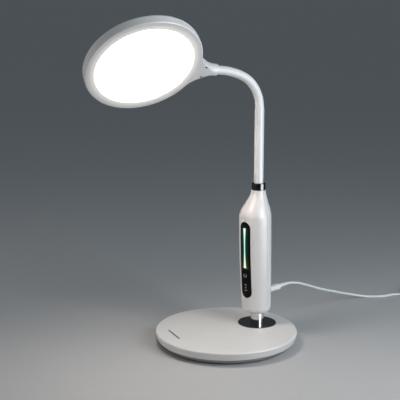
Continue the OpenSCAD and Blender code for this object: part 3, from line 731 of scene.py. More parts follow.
# Strain relief: a taper with ring grooves cut into it
t = np.linspace(0, 1, 140)
taper = lead["reliefWide"] + (lead["reliefNarrow"] - lead["reliefWide"]) * t
square = lead["reliefSquare"]
wave = np.clip(np.cos(2 * np.pi * lead["reliefRings"] * t), -square, square) / square
ends = ease(t / lead["reliefPlain"]) * ease((1 - t) / lead["reliefPlain"])
taper = taper - lead["reliefGroove"] * (1 - wave) / 2 * ends
reliefProfile = chain(
    [(0, 0)], pointsAt(taper, t * lead["reliefLength"]), [(0, lead["reliefLength"])])
reliefGrid = placed(lathe(reliefProfile, 48, False), alongY, [0, reliefY, socketZ])
cordRelief = makePiece("cordRelief", toColumn(reliefGrid), "plug_white", ["cord_relief"])
for piece in (cordPlug, cordRelief):
    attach(piece, "column")

# USB plug: moulded body, thin folded shell and its tongue
usbTurn = math.degrees(math.atan2(tailStep[1], tailStep[0])) - 90
usbLength, usbWidth, usbHeight = lead["usbBody"]
shellLength, shellWidth, shellHeight = lead["usbShell"]


def toUsb(grid):
    return placed(grid, turnZ(usbTurn), tailEnd)


usbSection = roundedSection(usbWidth, usbHeight, lead["usbRound"])
usbGrid = mouldedBody(usbLength, usbSection, lead["usbEnd"], lead["usbGrips"])
usbBody = makePiece("usbBody", toUsb(usbGrid), "plug_white", ["usb_body"])


# Shell: a thin rounded rectangle carried along, outside and back inside, closed at both rims
def thinShell(length, width, height, wall, start):
    outer = roundedSection(width, height, lead["usbCorners"][0], 4)
    inner = roundedSection(width - 2 * wall, height - 2 * wall, lead["usbCorners"][1], 4)
    out = start + np.array([0, lead["usbRim"], length - lead["usbRim"], length])
    along = chain(out, out[::-1])
    return carried(np.stack([outer] * len(out) + [inner] * len(out)), along, True)


usbSleeve = thinShell(shellLength, shellWidth, shellHeight, lead["usbWall"], usbLength)
usbShell = makePiece("usbShell", toUsb(usbSleeve), "steel", ["usb_shell"])
tongueSection = roundedSection(shellWidth - 2 * lead["usbWall"], lead["usbTongue"], lead["tongueEdge"], 3)
tongueGrid = mouldedBody(shellLength - lead["tongueShort"], tongueSection, lead["tongueEdge"])
tongueZ = (lead["usbTongue"] - shellHeight) / 2 + lead["usbWall"]
tongueGrid = toUsb(moved(tongueGrid, [0, usbLength, tongueZ]))
usbTongue = makePiece("usbTongue", tongueGrid, "plug_white", ["usb_tongue"])

# Strap round the coil: a flat section carried round a rounded rectangle
tieAway = lead["diameter"] / 2 + lead["room"] + lead["tieThick"]
tieInside = lead["coilInside"] - tieAway
tieOutside = lead["coilInside"] + pitch * lead["coilTurns"] + tieAway
tieTop = lead["coilLow"] + pitch + tieAway


def strapLoop(width, height, thick, across):
    outer = roundedSection(width, height, lead["tieRound"], 8)
    inner = roundedSection(width - 2 * thick, height - 2 * thick, lead["tieRound"] - thick, 8)
    edge = inner * 0.4 + outer * 0.6  # the bulge of the strap's edges
    half = across / 2
    flat = half - lead["tieEdge"]
    along = np.array([-flat, flat, half, flat, -flat, -half])
    return carried(np.stack([outer, outer, edge, inner, inner, edge]), along, True)


tieGrid = strapLoop(tieOutside - tieInside, tieTop, lead["tieThick"], lead["tieWidth"])
tieMiddle = np.array([(tieOutside + tieInside) / 2, 0, tieTop / 2])
coilMiddle = np.array([*lead["coilMiddle"], 0])
tieAngle = turnZ(lead["coilStart"] + lead["tieTurn"])
tieLoop = placed(moved(tieGrid, tieMiddle), tieAngle, coilMiddle)
coilTie = makePiece("coilTie", tieLoop, "tie_grey", ["coil_tie"])
for piece in (usbBody, usbShell, usbTongue, coilTie):
    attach(piece, "base")
print("lead dressed")


# Base cover: columns fan out from the foot's axis, rows go from the stem hole over the recess, the top, the
# rounded rim and the skirt, and back inside to the stem hole
base = {
    "radius": boxMm("base_cover")[1][0],
    "top": boxMm("base_cover")[1][2],
    "rimHeight": 10.1,
    "rimLean": 2.3,        # how far the rim's foot lies inside its widest ring
    "rimEdge": 1.8,
    "lowEdge": 0.7,
    "wall": 2.6,
    "recess": 0.8,
    "recessRadius": 24.72,
    "lipEdge": 0.2,
    "stemHole": 6.1,
}
base["skirt"] = base["top"] - base["rimHeight"]


def baseCover(b, columns=360):
    a = circle(columns)
    e = pointsAt(np.cos(a), np.sin(a))
    centre = foot[:2]

    def between(p, q, steps):
        s = np.linspace(0, 1, steps + 1)[1:-1, None, None]
        return list(p * (1 - s) + q * s)

    def fromFoot(r, z):
        return pointsAt(*(centre + r * e).T, z)

    # rays from the foot's axis meet the edge of the flat top, a circle round the base's centre
    flatR = b["radius"] - b["rimEdge"]
    lean = e @ centre
    reach = -lean + np.sqrt(lean**2 - centre @ centre + flatR * flatR)
    direction = (centre + reach[:, None] * e) / flatR

    def onRim(r, z):
        return pointsAt(*(direction * r).T, z)

    top = b["top"]
    floor = top - b["recess"]
    # the rim's side touches the top edge's circle and runs down to the rim's foot
    down = b["rimHeight"] - b["rimEdge"]
    across = b["rimEdge"] - b["rimLean"]
    slope = math.asin(b["rimEdge"] / math.hypot(down, across)) - math.atan2(across, down)
    lowR = b["radius"] - b["rimLean"] - b["lowEdge"] * (1 - math.sin(slope)) / math.cos(slope)
    over = np.linspace(0, np.pi / 2 + slope, 16)
    under = np.linspace(slope, np.pi / 2, 6)
    # the recess's wall is broken at its foot and eased at its lip
    lip = b["lipEdge"]
    wall = [(-lip / 2, floor), (0, floor + lip / 2), (0, top - lip),
            (0.3 * lip, top - 0.3 * lip), (lip, top), (3 * lip, top)]
    rows = [fromFoot(b["stemHole"], floor)] + [fromFoot(b["recessRadius"] + out, z) for out, z in wall]
    rows += between(rows[-2], onRim(flatR, top), 12)
    rows += [onRim(flatR - 2 * lip, top)]
    rows += [onRim(flatR + b["rimEdge"] * math.sin(v), top - b["rimEdge"] * (1 - math.cos(v)))
             for v in over]
    sideR = b["radius"] - b["rimLean"] + b["lowEdge"] * math.tan(slope)
    sideEnd = onRim(sideR, b["skirt"] + b["lowEdge"])
    rows += between(rows[-1], sideEnd, 4) + [sideEnd]
    rows += [onRim(lowR + b["lowEdge"] * math.cos(v), b["skirt"] + b["lowEdge"] * (1 - math.sin(v)))
             for v in under]
    inner = b["radius"] - b["rimLean"] - b["wall"]
    rows += [onRim(inner, b["skirt"]), onRim(inner, top - b["wall"])]
    rows += [fromFoot(b["stemHole"], top - b["wall"])]
    return np.stack(rows), gridFaces(len(rows), columns, True)


baseShell = makePiece("baseCover", baseCover(base), "base_white", ["base_cover"])

# Printed line on the base's top: a thin bar with round ends, set across the front left
line = {
    "reach": 69.7,   # from the base's centre
    "turn": -13.9,   # degrees round from the front
    "slant": -8.0,   # degrees, its own direction
    "length": 36.0,
    "width": 2.5,
    "lift": 0.03,
}


def printedLine(v):
    x, y = pillOutline(v["length"], v["width"], 12, 4)
    flat = pointsAt(y, x, np.zeros_like(x))
    rows = np.stack([flat * 0, flat, flat + [0, 0, v["lift"]], flat * 0 + [0, 0, v["lift"]]])
    middle = turnZ(v["turn"]) @ np.array([0, -v["reach"], 0])
    return placed((rows, gridFaces(4, len(x))), turnZ(v["slant"]), middle + [0, 0, base["top"]])


finishes["line_print"] = mouldedFinish("line print", rgb(0.13, 0.125, 0.118), 0.5)
baseLine = makePiece("baseLine", printedLine(line), "line_print")

# Foot plate, neck, collar and tube: lathes with eased edges
stand = {
    "plateRadius": 24.6,
    "plateLow": boxMm("foot_plate")[0][2],
    "plateHigh": boxMm("foot_plate")[1][2],
    "plateEdge": 0.45,
    "neckRadius": 8.9,
    "neckHigh": shell["low"] - 0.8,  # under the washer that the column turns on
    "neckEdges": (0.25, 0.5),        # lower and upper
    "stemRadius": 6.0,
    "stemLow": boxMm("foot_neck")[0][2],
    "stemEdge": 0.5,
    "spigotRadius": 5.0,
    "spigotHigh": boxMm("foot_neck")[1][2],
    "spigotEdge": 0.3,
    "boreRadius": 2.0,
    "boreDepth": 14.0,
}
stand["boreLow"] = stand["spigotHigh"] - stand["boreDepth"]


def atFoot(grid):
    return moved(grid, foot)


plateProfile = roundedProfile([
    (base["stemHole"], stand["plateLow"], 0), (stand["plateRadius"], stand["plateLow"], 0),
    (stand["plateRadius"], stand["plateHigh"], stand["plateEdge"]),
    (base["stemHole"], stand["plateHigh"], 0)])
footPlate = makePiece("footPlate", atFoot(lathe(plateProfile, 200)), "black_mirror", ["foot_plate"])
neckProfile = roundedProfile([
    (0, stand["stemLow"], 0), (stand["stemRadius"], stand["stemLow"], stand["stemEdge"]),
    (stand["stemRadius"], stand["plateHigh"], 0),
    (stand["neckRadius"], stand["plateHigh"], stand["neckEdges"][0]),
    (stand["neckRadius"], stand["neckHigh"], stand["neckEdges"][1]),
    (stand["spigotRadius"], stand["neckHigh"], 0),
    (stand["spigotRadius"], stand["spigotHigh"], stand["spigotEdge"]),
    (stand["boreRadius"], stand["spigotHigh"], 0),
    (stand["boreRadius"], stand["boreLow"], 0), (0, stand["boreLow"], 0)])
footNeck = makePiece("footNeck", atFoot(lathe(neckProfile, 128)), "bright_chrome", ["foot_neck"])

arm = {
    "collarRadius": 8.9,
    "collarGap": 0.05,    # round the tube
    "collarLow": boxMm("collar")[0][2],
    "collarHigh": boxMm("collar")[1][2],
    "collarEdges": (0.3, 0.7, 0.25),  # lower, upper, and round the bore
    "tubeRadius": 5.95,
    "tubeBore": 4.0,
    "tubeLow": boxMm("arm_tube")[0][2],
    "tubeHigh": boxMm("arm_tube")[1][2],
    "tubeEdges": (0.3, 0.45),
    "neckRadius": 5.4,
    "neckBore": 3.6,
    "lineInTube": 1.5,    # the neck's line starts this far down the tube
    "sleeveInTube": 1.0,
    "intoStub": 2.2,
    "mouthReach": 2.4,    # from the last joint to the stub's mouth
}
collarBore = arm["tubeRadius"] + arm["collarGap"]
lowEdge, highEdge, boreEdge = arm["collarEdges"]
collarProfile = roundedProfile([
    (collarBore, arm["collarLow"], 0), (arm["collarRadius"], arm["collarLow"], lowEdge),
    (arm["collarRadius"], arm["collarHigh"], highEdge), (collarBore, arm["collarHigh"], boreEdge)])
armCollar = makePiece("armCollar", atFoot(lathe(collarProfile, 128)), "black_chrome", ["collar"])
lowEdge, highEdge = arm["tubeEdges"]
tubeProfile = roundedProfile([
    (arm["tubeBore"], arm["tubeLow"], 0), (arm["tubeRadius"], arm["tubeLow"], lowEdge),
    (arm["tubeRadius"], arm["tubeHigh"], highEdge), (arm["tubeBore"], arm["tubeHigh"], 0)])
armTube = makePiece("armTube", atFoot(lathe(tubeProfile, 96)), "tube_white", ["arm_tube"])
for piece in (baseShell, baseLine, footPlate, footNeck):
    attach(piece, "base")
for piece in (armCollar, armTube):
    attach(piece, "column")
print("base, foot, collar and tube made")


# Place of a joint in the neck, counted from the tube
def linkNumber(joint):
    return 0 if joint["parent"] == "column" else int(joint["parent"].rsplit("_", 1)[-1])


# Flexible neck: one smooth line through the joints, cut into a sleeve for each joint from the middle of the
# link before it to the middle of the link after it
neckJoints = [joint for joint in frame["joints"] if joint["name"] != "column_swivel"]
neckJoints.sort(key=linkNumber)
stops = np.array([joint["pos_m"] for joint in neckJoints]) / mm
tubeTop = np.array([foot[0], foot[1], arm["tubeHigh"]])
neckStart = tubeTop - [0, 0, arm["lineInTube"]]
neckMouth = stops[-1] + neckAxis * (arm["intoStub"] + arm["mouthReach"])
step = np.linalg.norm(stops[2] - stops[1])
neckLine = throughPoints(
    [tubeTop - [0, 0, step], neckStart, *stops, neckMouth, neckMouth + neckAxis * step], 48)
run = chain([0], np.cumsum(np.linalg.norm(np.diff(neckLine, axis=0), axis=1)))


def neckAt(distance):
    return np.stack([np.interp(distance, run, neckLine[:, i]) for i in range(3)], -1)


def runAt(point):
    return run[np.argmin(np.linalg.norm(neckLine - point, axis=1))]


stopRuns = [runAt(stop) for stop in stops]
middles = [(one + two) / 2 for one, two in zip(stopRuns, stopRuns[1:])]
cuts = [runAt(tubeTop) - arm["sleeveInTube"], *middles, run[-1]]


# Sleeve with a wall: at path point P, with the arm's axis A and C across it, rings of points
# P + r cos a A + r sin a C go up the outside and back down the inside. The path's direction is taken from
# points near P on both sides.
def sleeve(low, high, rings=18, sides=56, near=0.2):
    at = np.linspace(low, high, rings)
    path = neckAt(at)[:, None]
    along = neckAt(at + near) - neckAt(at - near)
    along /= np.linalg.norm(along, axis=1, keepdims=True)
    across = np.cross(armAxis, along)[:, None]
    a = circle(sides)[None, :, None]
    ring = np.cos(a) * armAxis + np.sin(a) * across
    points = chain(path + arm["neckRadius"] * ring, (path + arm["neckBore"] * ring)[::-1])
    return points, gridFaces(2 * rings, sides, True)


for number, (joint, low, high) in enumerate(zip(neckJoints, cuts, cuts[1:]), 1):
    covered = ["neck_root"] if number == 1 else ["neck_link_%d" % (number - 1)]
    part = makePiece("neckSleeve%d" % number, sleeve(low, high), "neck_white", covered)
    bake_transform(part)
print("neck sleeves made:", len(neckJoints))


# Head: stub along +x, light towards -z, mid plane at z = 0 in its own frame
head = {
    "radius": 70.8,
    "half": 6.5,            # half of its thickness
    "window": 59.7,
    "lip": 1.2,
    "wall": 2.0,
    "frontEdge": 1.6,
    "backEdge": 3.6,
    "stubRadius": 7.3,
    "stubBore": 5.75,
    "stubLength": 28.6,
    "boreRows": (4.0, 0.2),  # how far behind the mouth the bore's rows lie
    "mouthEdge": 1.2,
    "fillet": 31.0,
    "webRound": 0.45,       # share of the fillet over which the round stub becomes flat
    "webLine": 0.55,        # share of the fillet whose rows end on the centre line
    "webEnd": 0.6,          # how far the solid web reaches out from the cavity
    "windowEdge": 0.35,
    "backMiddle": 0.4,      # radius of the back's innermost row
    "seam": 0.07,
    "seamRound": 0.3,
    "screws": (79.0, 8.0),
    "screwHole": 1.6,
    "screwDepth": 0.4,
    "wellDepth": 2.0,       # from the screws' seat to the bottom of their wells
    "wellReach": 12.0,      # outer end of the wells' cutter
    "diffuserRadius": 66.0,
    "diffuserCrown": 0.5,
    "diffuserThick": 1.5,
    "glow": 21.0,
    "glowEnd": 0.955,       # share of the window at which the glow starts to fade
    "paintedGlowReach": 9.0,           # how far the painted glow reaches into the frame from the window
}
head["mouth"] = head["radius"] + head["stubLength"]
head["filletY"] = head["stubRadius"] + head["fillet"]
head["filletX"] = math.sqrt((head["radius"] + head["fillet"]) ** 2 - head["filletY"] ** 2)
head["tangent"] = math.atan2(head["filletY"], head["filletX"])
headCentre = stops[-1] + neckAxis * (head["mouth"] + arm["mouthReach"])
armTurn = turnZ(math.degrees(math.atan2(armAxis[1], armAxis[0])))
neckLean = math.degrees(math.atan2(-(armTurn.T @ neckAxis)[1], neckAxis[2]))
headTurn = armTurn @ turnX(neckLean - 90) @ turnZ(90) @ turnX(-headRoll)


def toHead(grid):
    return placed(grid, headTurn, headCentre)


# Outline of half the head: from the stub's mouth along the stub, round the fillet and round the disc.
# Each point has its inward direction, how much it belongs to the stub, and the inner end of its row.
def headOutline(inside, discSteps=150, webSteps=48):
    bend = quarter(7)
    edge = head["mouthEdge"]
    mouthX = head["mouth"] - chain(head["boreRows"], edge - edge * np.cos(bend))
    mouthR = chain([head["stubBore"]] * 2, head["stubRadius"] - edge + edge * np.sin(bend))
    swing = np.linspace(0, 1, webSteps + 1)[1:]
    turn = -np.pi / 2 + (head["tangent"] - np.pi / 2) * swing
    filletX = head["filletX"] + head["fillet"] * np.cos(turn)
    filletY = head["filletY"] + head["fillet"] * np.sin(turn)
    disc = np.linspace(head["tangent"], np.pi, discSteps + 1)[1:]
    x = chain(mouthX, [head["filletX"]], filletX, head["radius"] * np.cos(disc))
    y = chain(mouthR, [head["stubRadius"]], filletY, head["radius"] * np.sin(disc))
    count = len(mouthX) + 1
    inX = chain(np.zeros(count), np.cos(turn), -np.cos(disc))
    inY = chain(-np.ones(count), np.sin(turn), -np.sin(disc))
    stub = chain(np.ones(count), 1 - ease(swing / head["webRound"]), np.zeros(discSteps))
    stubR = chain(mouthR, np.full(1 + webSteps + discSteps, head["stubRadius"]))
    # rows end on the centre line near the stub and on the inside circle round the disc
    lineEnd = head["radius"] - head["wall"] + head["webEnd"]
    line = swing <= head["webLine"]
    lineX = head["filletX"] + (lineEnd - head["filletX"]) * swing[line] / head["webLine"]
    arc = chain(head["tangent"] * np.linspace(0, 1, (~line).sum()), disc)
    endX = chain(mouthX, [head["filletX"]], lineX, inside * np.cos(arc))
    endY = chain(np.zeros(count + line.sum()), inside * np.sin(arc))
    onLine = chain(np.ones(count + line.sum(), bool), np.zeros(len(arc), bool))
    return x, y, inX, inY, stub, stubR, endX, endY, onLine


# Half shell of the head: rows go from the seam up the side, round the edge, over the face to the inner end,
# then back along the inside to the seam
def headShell(edge, inside, side, isFrame):
    x, y, inX, inY, stub, stubR, endX, endY, onLine = headOutline(inside)
    height = stub * stubR + (1 - stub) * head["half"]
    radius = stub * stubR + (1 - stub) * edge
    seamRound = head["seamRound"] * (1 - stub)
    rows = []

    def row(inset, z):
        rows.append(pointsAt(x + inX * inset, y + inY * inset, z))

    for v in quarter(4):
        row(seamRound * (1 - np.sin(v)), head["seam"] + seamRound * (1 - np.cos(v)))
    low = head["seam"] + seamRound
    high = np.maximum(height - radius, low)
    for s in np.linspace(0, 1, 5)[1:]:
        row(0 * x, low + (high - low) * s)
    for v in quarter(15)[1:]:
        row(radius * (1 - np.cos(v)), high + (height - high) * np.sin(v))
    last = rows[-1]
    webZ = np.interp(endX, [head["radius"], head["filletX"]], [head["half"], head["stubRadius"]])
    endZ = np.where(stub >= 1, height, np.where(onLine, webZ, head["half"]))
    ends = pointsAt(endX, endY, endZ)
    # a first row close to the edge keeps its shading crisp
    for s in chain([0.02], np.linspace(0, 1, 9)[1:]):
        flat = last * (1 - s) + ends * s
        flat[:, 2] = last[:, 2] + (ends[:, 2] - last[:, 2]) * ease(s)
        rows.append(flat)
    cavity = head["radius"] - head["wall"]
    angle = np.arctan2(endY, endX)

    def ring(r, z):
        ringX = np.where(onLine, endX, r * np.cos(angle))
        ringY = np.where(onLine, endY, r * np.sin(angle))
        rows.append(pointsAt(ringX, ringY, np.where(onLine, head["seam"], z)))

    if isFrame:
        ring(inside, head["half"] - head["windowEdge"])
    under = head["half"] - head["lip" if isFrame else "wall"]
    ring(inside, under)
    ring(cavity, under)
    ring(cavity, head["seam"])
    points = np.stack(rows)
    points[..., 2] *= side
    faces = gridFaces(len(rows), points.shape[1], True, False)
    points, faces = joinGrids([(points, faces), (points * [1, -1, 1], faces[:, ::-1])])
    # faces on the middle plane would wall the two halves off from each other
    onPlane = 0.001
    return points, faces[np.abs(points[faces][..., 1]).max(1) > onPlane]


# Place measured from the head's middle, and its distance from there in millimetres
def headPlace(paint):
    where = paint.node("ShaderNodeMapping", {"vector_type": "TEXTURE"},
                       {"Vector": paint.place(), "Location": headCentre * mm})
    distance = paint.node("ShaderNodeVectorMath", {"operation": "LENGTH"}, {0: where}, "Value")
    return where, distance / mm


# Frame finish: the head's white, with a painted glow near the window's edge that stands for the light
# soaking into the frame
def frameFinish():
    paint = mouldedPaint("frame white with painted glow", headWhite, 0.34, **{"Emission Strength": 1.0})
    distance = headPlace(paint)[1]
    edge = math.hypot(head["window"], head["half"])
    paintedGlowShare = paint.soft(distance, edge + head["paintedGlowReach"], edge)
    return paint.feed(Emission_Color=paint.mix(paintedGlowShare, rgb(0.0, 0.0, 0.0), rgb(0.32, 0.28, 0.23)))


finishes["head_frame"] = frameFinish()
frameGrid = headShell(head["frontEdge"], head["window"], -1, True)
headFrame = makePiece("headFrame", toHead(frameGrid), "head_frame", ["head_frame"])
coverGrid = headShell(head["backEdge"], head["backMiddle"], 1, False)
headBack = makePiece("headBack", toHead(coverGrid), "head_white", ["head_back"])
screwSeat = head["screwDepth"] - head["half"]


def atScrews(grid):
    x, y = head["screws"]
    return toHead(joinGrids([moved(grid, [x, s * y, 0]) for s in (-1, 1)]))


# Two screw wells sunk in the frame beside the stub
def sinkWells(piece):
    outer = -head["wellReach"]
    bottom = screwSeat + head["wellDepth"]
    profile = np.array([(0, outer), (head["screwHole"], outer), (head["screwHole"], bottom), (0, bottom)])
    cutter = makePiece("screwWells", atScrews(lathe(profile, 40, False)), "head_white")
    cut = piece.modifiers.new("holes", "BOOLEAN")
    cut.object = cutter
    cut.solver = "EXACT"
    cut.use_self = True
    cut.use_hole_tolerant = True
    seen = piece.evaluated_get(bpy.context.evaluated_depsgraph_get())
    mesh = bpy.data.meshes.new_from_object(seen)
    piece.modifiers.clear()
    piece.data = mesh
    bpy.data.objects.remove(cutter)


sinkWells(headFrame)
screw = {
    "radius": 1.5,
    "dome": 0.32,
    "domeRows": (0.02, 0.12),  # radius of the dome's first row, and from its last row to the side
    "edge": [(0.03, 0.03), (0.0, -0.05), (0.0, -1.3)],  # rim, side and shank's end, as (inwards, up)
    "slotDepth": 0.6,
    "slotHalf": 0.3,
    "slotHalfEase": 0.12,
    "slotReach": 0.95,
    "slotReachEase": 0.15,
    "sunk": 0.3,
}


# Screw: a dome of height 1 - r^2 with a cross cut into it, over a plain shank
def crossScrew(v, rings=16, sides=64):
    inwards, up = np.array(v["edge"]).T
    domeR = np.linspace(v["domeRows"][0], v["radius"] - v["domeRows"][1], rings)
    r = chain(domeR, v["radius"] - inwards)[:, None]
    z = chain(v["dome"] * (1 - (domeR / v["radius"]) ** 2), up)[:, None]
    a = circle(sides)
    x = r * np.cos(a)
    y = r * np.sin(a)
    aside = np.minimum(np.abs(x), np.abs(y))
    out = np.maximum(np.abs(x), np.abs(y))
    narrow = ease((v["slotHalf"] - aside) / v["slotHalfEase"])
    short = ease((v["slotReach"] - out) / v["slotReachEase"])
    return pointsAt(x, y, z - v["slotDepth"] * narrow * short), gridFaces(len(r), sides)


facingLight = np.diag([1.0, 1.0, -1.0])
screwGrid = placed(crossScrew(screw), facingLight, [0, 0, screwSeat + screw["sunk"]])
# screws near black: their own blacking, darkened further as painted shade so that the wells read dark
finishes["screw_dark"] = machinedFinish("screw blacking and painted shade", rgb(0.025, 0.025, 0.026), 0.4)
headScrews = makePiece("headScrews", atScrews(screwGrid), "screw_dark", ["head_screws"])

# Diffuser: a disc with a slight crown of height 1 - r^2 towards the light side
disc = np.linspace(0, 1, 40)
diffuserR = head["diffuserRadius"]
front = head["lip"] - head["half"]
crown = front - head["diffuserCrown"] * (1 - disc**2)
back = front + head["diffuserThick"]
diffuserProfile = chain(pointsAt(disc * diffuserR, crown), [(diffuserR, back), (0, back)])


# Glowing opal sheet: even and warm over the window, and fading at its rim
def diffuserGlow():
    paint = Paint("opal glow", {"Roughness": 0.35, "Emission Strength": head["glow"]})
    where, distance = headPlace(paint)
    rim = paint.soft(distance / head["window"], head["glowEnd"], 1.0)
    cloud = paint.noise(where, pattern["opalClouds"])
    return paint.feed(
        Base_Color=paint.mix(cloud, rgb(0.84, 0.83, 0.80), rgb(0.88, 0.87, 0.85)),
        Emission_Color=paint.mix(rim, rgb(1.0, 0.89, 0.82), rgb(0.06, 0.052, 0.045)),
        Normal=paint.bump(paint.noise(where, pattern["opalGrain"]), pattern["opalDepth"] * mm),
    )


finishes["diffuser_opal"] = diffuserGlow()
diffuserGrid = toHead(lathe(diffuserProfile, 160, False))
diffuserSheet = makePiece("diffuserSheet", diffuserGrid, "diffuser_opal", ["diffuser"])
for piece in (headFrame, headBack, headScrews, diffuserSheet):
    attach(piece, "head")
print("head made")


# Touch panel: black lens with a glowing waisted bar and two printed key marks
panel = {
    "proud": 0.3,
    "edge": 0.3,
    "depth": 1.6,
    "grid": (48, 120),     # points across each end and down each side
    "slotEdge": 0.15,
    "barMiddle": 16.0,     # above the panel's middle
    "barLength": 52.0,
    "barEnd": 5.0,
    "barWaist": 2.4,
    "barDepth": 3.0,
    "barGap": 0.06,
    "barPast": 0.5,        # how far past its ends the circles of its sides go on
    "haloSides": (7.6, 2.0),  # from the middle line: where the glow on the lens ends, and where it is full
    "haloLow": (-0.06, 0.02),  # the same at both ends, in shares of the bar's length
    "haloHigh": (1.12, 0.9),
    "keys": (-20.0, -36.0),
    "print": 0.02,
    "printDepth": 0.05,
}
barZ = panelZ + panel["barMiddle"]
barDip = (panel["barEnd"] - panel["barWaist"]) / 2
barRadius = ((panel["barLength"] / 2) ** 2 + barDip**2) / (2 * barDip)


# Half width of the bar: its sides are large circles that come nearest at the middle
def barHalf(z, grow=0.0):
    limit = panel["barLength"] / 2 + panel["barPast"]
    sag = np.sqrt((barRadius - grow) ** 2 - np.clip(z, -limit, limit) ** 2)
    return panel["barWaist"] / 2 + barRadius - sag


# Outline of the bar with the same number of points, in the same order, as the pill round it
def barOutline(across, down, grow):
    half = panel["barLength"] / 2 + grow
    side = np.linspace(half, -half, down, endpoint=False)
    top = np.linspace(-1, 1, across, endpoint=False) * barHalf(half, grow)
    x = chain(top, barHalf(side, grow), -top, -barHalf(side, grow))
    z = chain(np.full(across, half), side, np.full(across, -half), -side)
    return x, z + panel["barMiddle"]


# Lens: rows go down into the bar's slot, over the face and round the outer edge to the back
def lensGrid():
    length = shell["panelLength"]
    width = shell["panelWidth"]
    pill, small = (pointsAt(*pillOutline(length - 2 * cut, width - 2 * cut, *panel["grid"]))
                   for cut in (0, panel["edge"]))
    slot, wide = (pointsAt(*barOutline(*panel["grid"], panel["barGap"] + cut))
                  for cut in (0, panel["slotEdge"]))
    t = np.linspace(0, 1, 16)
    bend = quarter(5)[1:]
    flats = [slot, slot] + [wide * (1 - s) + small * s for s in t]
    proud = [-panel["depth"], panel["proud"] - panel["slotEdge"]] + [panel["proud"]] * len(t)
    flats += [small + (pill - small) * math.sin(v) for v in bend] + [pill]
    proud += [panel["proud"] - panel["edge"] * (1 - math.cos(v)) for v in bend] + [-panel["depth"]]
    flat = np.stack(flats)
    out = np.array(proud)[:, None]
    z = panelZ + flat[..., 1]
    return onColumn(angleAt(flat[..., 0], z), z, out), gridFaces(len(flats), flat.shape[1], True)


# Bar: a face that follows the panel, with eased long sides, and a body behind it.
# Its points lie at shares u of the half width, and sink towards the sides.
def barGrid():
    z = np.linspace(-panel["barLength"] / 2, panel["barLength"] / 2, 90)[:, None]
    u = np.array([-1, -1, -0.97, -0.9, -0.5, 0, 0.5, 0.9, 0.97, 1, 1])
    eased = np.array([-panel["barDepth"], -0.2, -0.06, -0.02, 0])
    out = panel["proud"] + chain(eased, [0], eased[::-1])
    x = barHalf(z) * u
    level = np.broadcast_to(z + barZ, x.shape)
    points = onColumn(angleAt(x, level), level, out)
    caps = points[[0, -1]].mean(1, keepdims=True) * np.ones((1, len(u), 1))
    return chain(caps[:1], points, caps[1:]), gridFaces(len(z) + 2, len(u))


# Place on the panel, in millimetres: aside from its middle line, and up from the bar's middle
def panelPlace(paint):
    turned = (0, 0, math.radians(columnAngle))
    where = paint.node("ShaderNodeMapping", {"vector_type": "TEXTURE"},
                       {"Vector": paint.place(), "Location": foot * mm, "Rotation": turned})
    x = paint.node("ShaderNodeSeparateXYZ", {}, {0: where}, "X")
    z = Wire(paint, x.socket.node.outputs["Z"])
    return paint.math("ABSOLUTE", x) / mm, (z - barZ * mm) / mm


# Glow of the mood light: the colour runs from cool white at the top through teal to warm yellow below. The
# bar's core is bright, and the light falls to a deep teal at its sides.
def barGlow():
    paint = Paint("bar glow", {"Roughness": 0.3, "Emission Strength": 1.0})
    aside, up = panelPlace(paint)
    along = up / panel["barLength"] + 0.5
    half = panel["barWaist"] / 2 + up * up / (2 * barRadius)
    core = paint.soft(aside / half, 1.0, 0.25)
    ramp = paint.node("ShaderNodeValToRGB", {"stops": [
        (0.0, rgb(1.0, 0.98, 0.72)), (0.16, rgb(0.95, 1.0, 0.80)), (0.45, rgb(0.55, 0.95, 0.82)),
        (0.72, rgb(0.62, 0.97, 0.88)), (0.9, rgb(0.90, 1.0, 0.95)), (1.0, rgb(0.95, 1.0, 0.97)),
    ]}, {0: along})
    cloud = paint.noise(paint.place(), pattern["barClouds"])
    return paint.feed(
        Base_Color=paint.mix(cloud, rgb(0.10, 0.16, 0.15), rgb(0.12, 0.18, 0.16)),
        Emission_Color=paint.mix(core, rgb(0.04, 0.20, 0.15), ramp),
        Normal=paint.bump(cloud, pattern["barDepth"] * mm),
    )


# Black lens with a painted glow round the bar, standing for the bar's light spreading a little way into it
def lensGloss():
    paint = Paint("panel gloss", {"IOR": 1.3, "Specular IOR Level": 0.3, "Emission Strength": 1.0})
    aside, up = panelPlace(paint)
    along = up / panel["barLength"] + 0.5
    beside = paint.soft(aside, *panel["haloSides"])
    inside = paint.soft(along, *panel["haloLow"]) * paint.soft(along, *panel["haloHigh"])
    paintedGlowColour = paint.node("ShaderNodeValToRGB", {"stops": [
        (0.0, rgb(0.060, 0.050, 0.004)), (0.1, rgb(0.020, 0.030, 0.006)),
        (0.35, rgb(0.002, 0.022, 0.013)), (0.7, rgb(0.002, 0.030, 0.020)), (1.0, rgb(0.004, 0.030, 0.022)),
    ]}, {0: along})
    dust = paint.noise(paint.place(), pattern["dust"], 3.0)
    # painted glow: emission on the lens round the bar, fading at its sides and ends
    glow = paint.mix(beside * inside, rgb(0.0, 0.0, 0.0), paintedGlowColour)
    return paint.feed(
        Base_Color=paint.mix(dust, rgb(0.002, 0.002, 0.002), rgb(0.004, 0.004, 0.004)),
        Roughness=0.05 + 0.06 * dust,
        Emission_Color=glow,
    )


finishes["bar_light"] = barGlow()
finishes["panel_black"] = lensGloss()
finishes["key_print"] = mouldedFinish("key print", rgb(0.50, 0.51, 0.52), 0.5)
panelLens = makePiece("panelLens", toColumn(lensGrid()), "panel_black", ["panel_lens"])
lightBar = makePiece("lightBar", toColumn(barGrid()), "bar_light", ["light_bar"])


